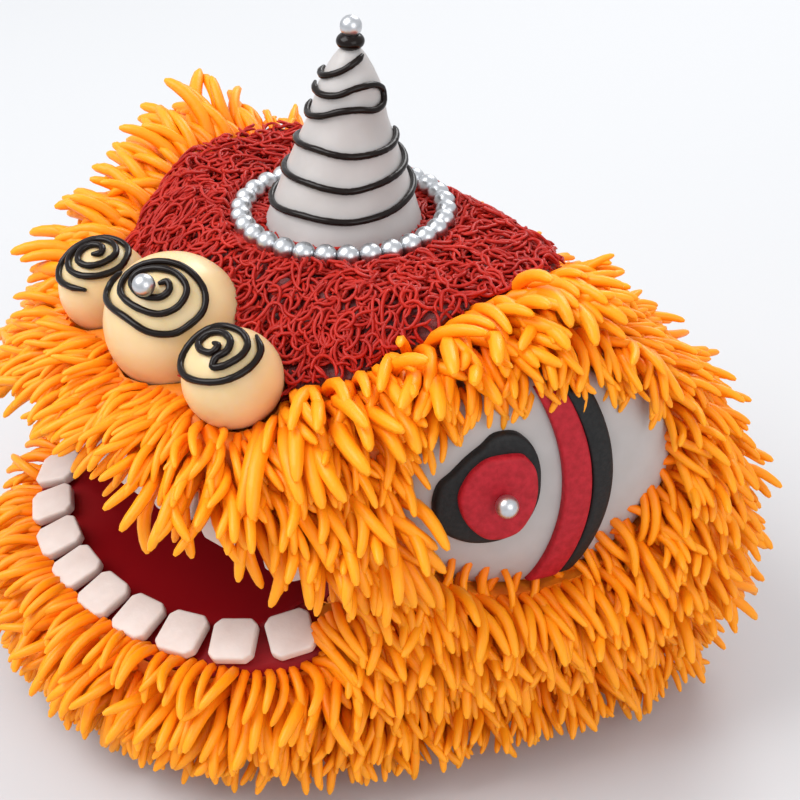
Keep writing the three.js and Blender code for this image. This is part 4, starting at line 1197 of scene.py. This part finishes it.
# The pearls: hard sugar balls with a silver coat, pressed into the icing in a ring round the horn's foot,
# and one each on the horn's tip, the nose and the eyes.
PEARL = 2.05  # radius
RING_COUNT, RING_LIFT = 30, 1.6
RING_SWELL = 1.04  # how much larger the ring's pearls are made, so that they touch
silver = finish("silver_pearl", (0.6, 0.61, 0.63), 0.34, metallic=1.0)
for node in ("horn_pearl", "nose_pearl", "eye_pearl_left", "eye_pearl_right"):
    low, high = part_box(node)
    middle = (low + high) / 2 / MM
    pearl = ball_mesh(f"sugar_{node}", (middle.x, middle.y - SLIDE, middle.z), (PEARL,) * 3, 32, 16, silver)
    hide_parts(node)
ring_reach = PEARL / math.sin(math.pi / RING_COUNT)
pearls = bmesh.new()
for i in range(RING_COUNT):
    a = 2 * math.pi * i / RING_COUNT
    centre = placed((ring_reach * math.cos(a), ring_reach * math.sin(a), HORN_FOOT_Z + RING_LIFT))
    bmesh.ops.create_uvsphere(pearls, u_segments=24, v_segments=14, radius=PEARL * MM * RING_SWELL,
                              matrix=Matrix.Translation(centre))
mesh = bpy.data.meshes.new("sugar_pearl_ring")
pearls.to_mesh(mesh)
pearls.free()
mesh.materials.append(silver)
mesh.shade_smooth()
pearl_ring = new_piece("sugar_pearl_ring", mesh)
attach(pearl_ring, "root")
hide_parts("pearl_ring")

# The stage, in metres: a wide pale surface in a bright room, a large soft light in front and above with two
# weaker ones to the side and behind, and a camera that stands where the photograph was taken from.
FLOOR = 4
floor_mesh = bpy.data.meshes.new("floor")
corners = [(-FLOOR, -FLOOR, 0), (FLOOR, -FLOOR, 0), (FLOOR, FLOOR, 0), (-FLOOR, FLOOR, 0)]
floor_mesh.from_pydata(corners, [], [(0, 1, 2, 3)])
floor_mesh.materials.append(finish("pale_floor", (0.56, 0.565, 0.575), 0.8))
floor = new_piece("floor", floor_mesh)

world = bpy.data.worlds.new("pale_room")
bpy.context.scene.world = world
world.use_nodes = True
world.node_tree.nodes["Background"].inputs["Color"].default_value = (0.95, 0.97, 1.0, 1)
world.node_tree.nodes["Background"].inputs["Strength"].default_value = 0.82


def soft_light(name, place, size, power):
    """A square soft light that looks at the middle of the head."""
    data = bpy.data.lights.new(name, "AREA")
    data.size = size
    data.energy = power
    lamp = new_piece(name, data)
    lamp.location = place
    lamp.rotation_mode = "QUATERNION"
    lamp.rotation_quaternion = (Vector((0, 0, 0.05)) - Vector(place)).to_track_quat("-Z", "Y")


soft_light("key", (-0.25, -0.45, 0.75), 0.6, 6.2)
soft_light("fill", (0.7, -0.1, 0.4), 0.5, 1.5)
soft_light("rim", (-0.3, 0.6, 0.6), 0.4, 3)

# The camera's place is given in millimetres and degrees, its turn from the lion's front to its left.
CAMERA = {"turn": 50, "rise": 32.04, "distance": 316.7, "lens": 74.25, "target": (20.72, -3.36, 58)}
turn, rise = math.radians(CAMERA["turn"]), math.radians(CAMERA["rise"])
back = Vector((math.sin(turn) * math.cos(rise), -math.cos(turn) * math.cos(rise), math.sin(rise)))
camera_data = bpy.data.cameras.new("camera")
camera_data.lens = CAMERA["lens"]
camera_data.sensor_width = 36
camera_data.clip_start = 0.01
camera_data.clip_end = 20
camera = new_piece("camera", camera_data)
camera.location = placed(CAMERA["target"]) + back * CAMERA["distance"] * MM
camera.rotation_mode = "QUATERNION"
camera.rotation_quaternion = (-back).to_track_quat("-Z", "Y")
bpy.context.scene.camera = camera
bpy.context.scene.view_settings.view_transform = "Standard"
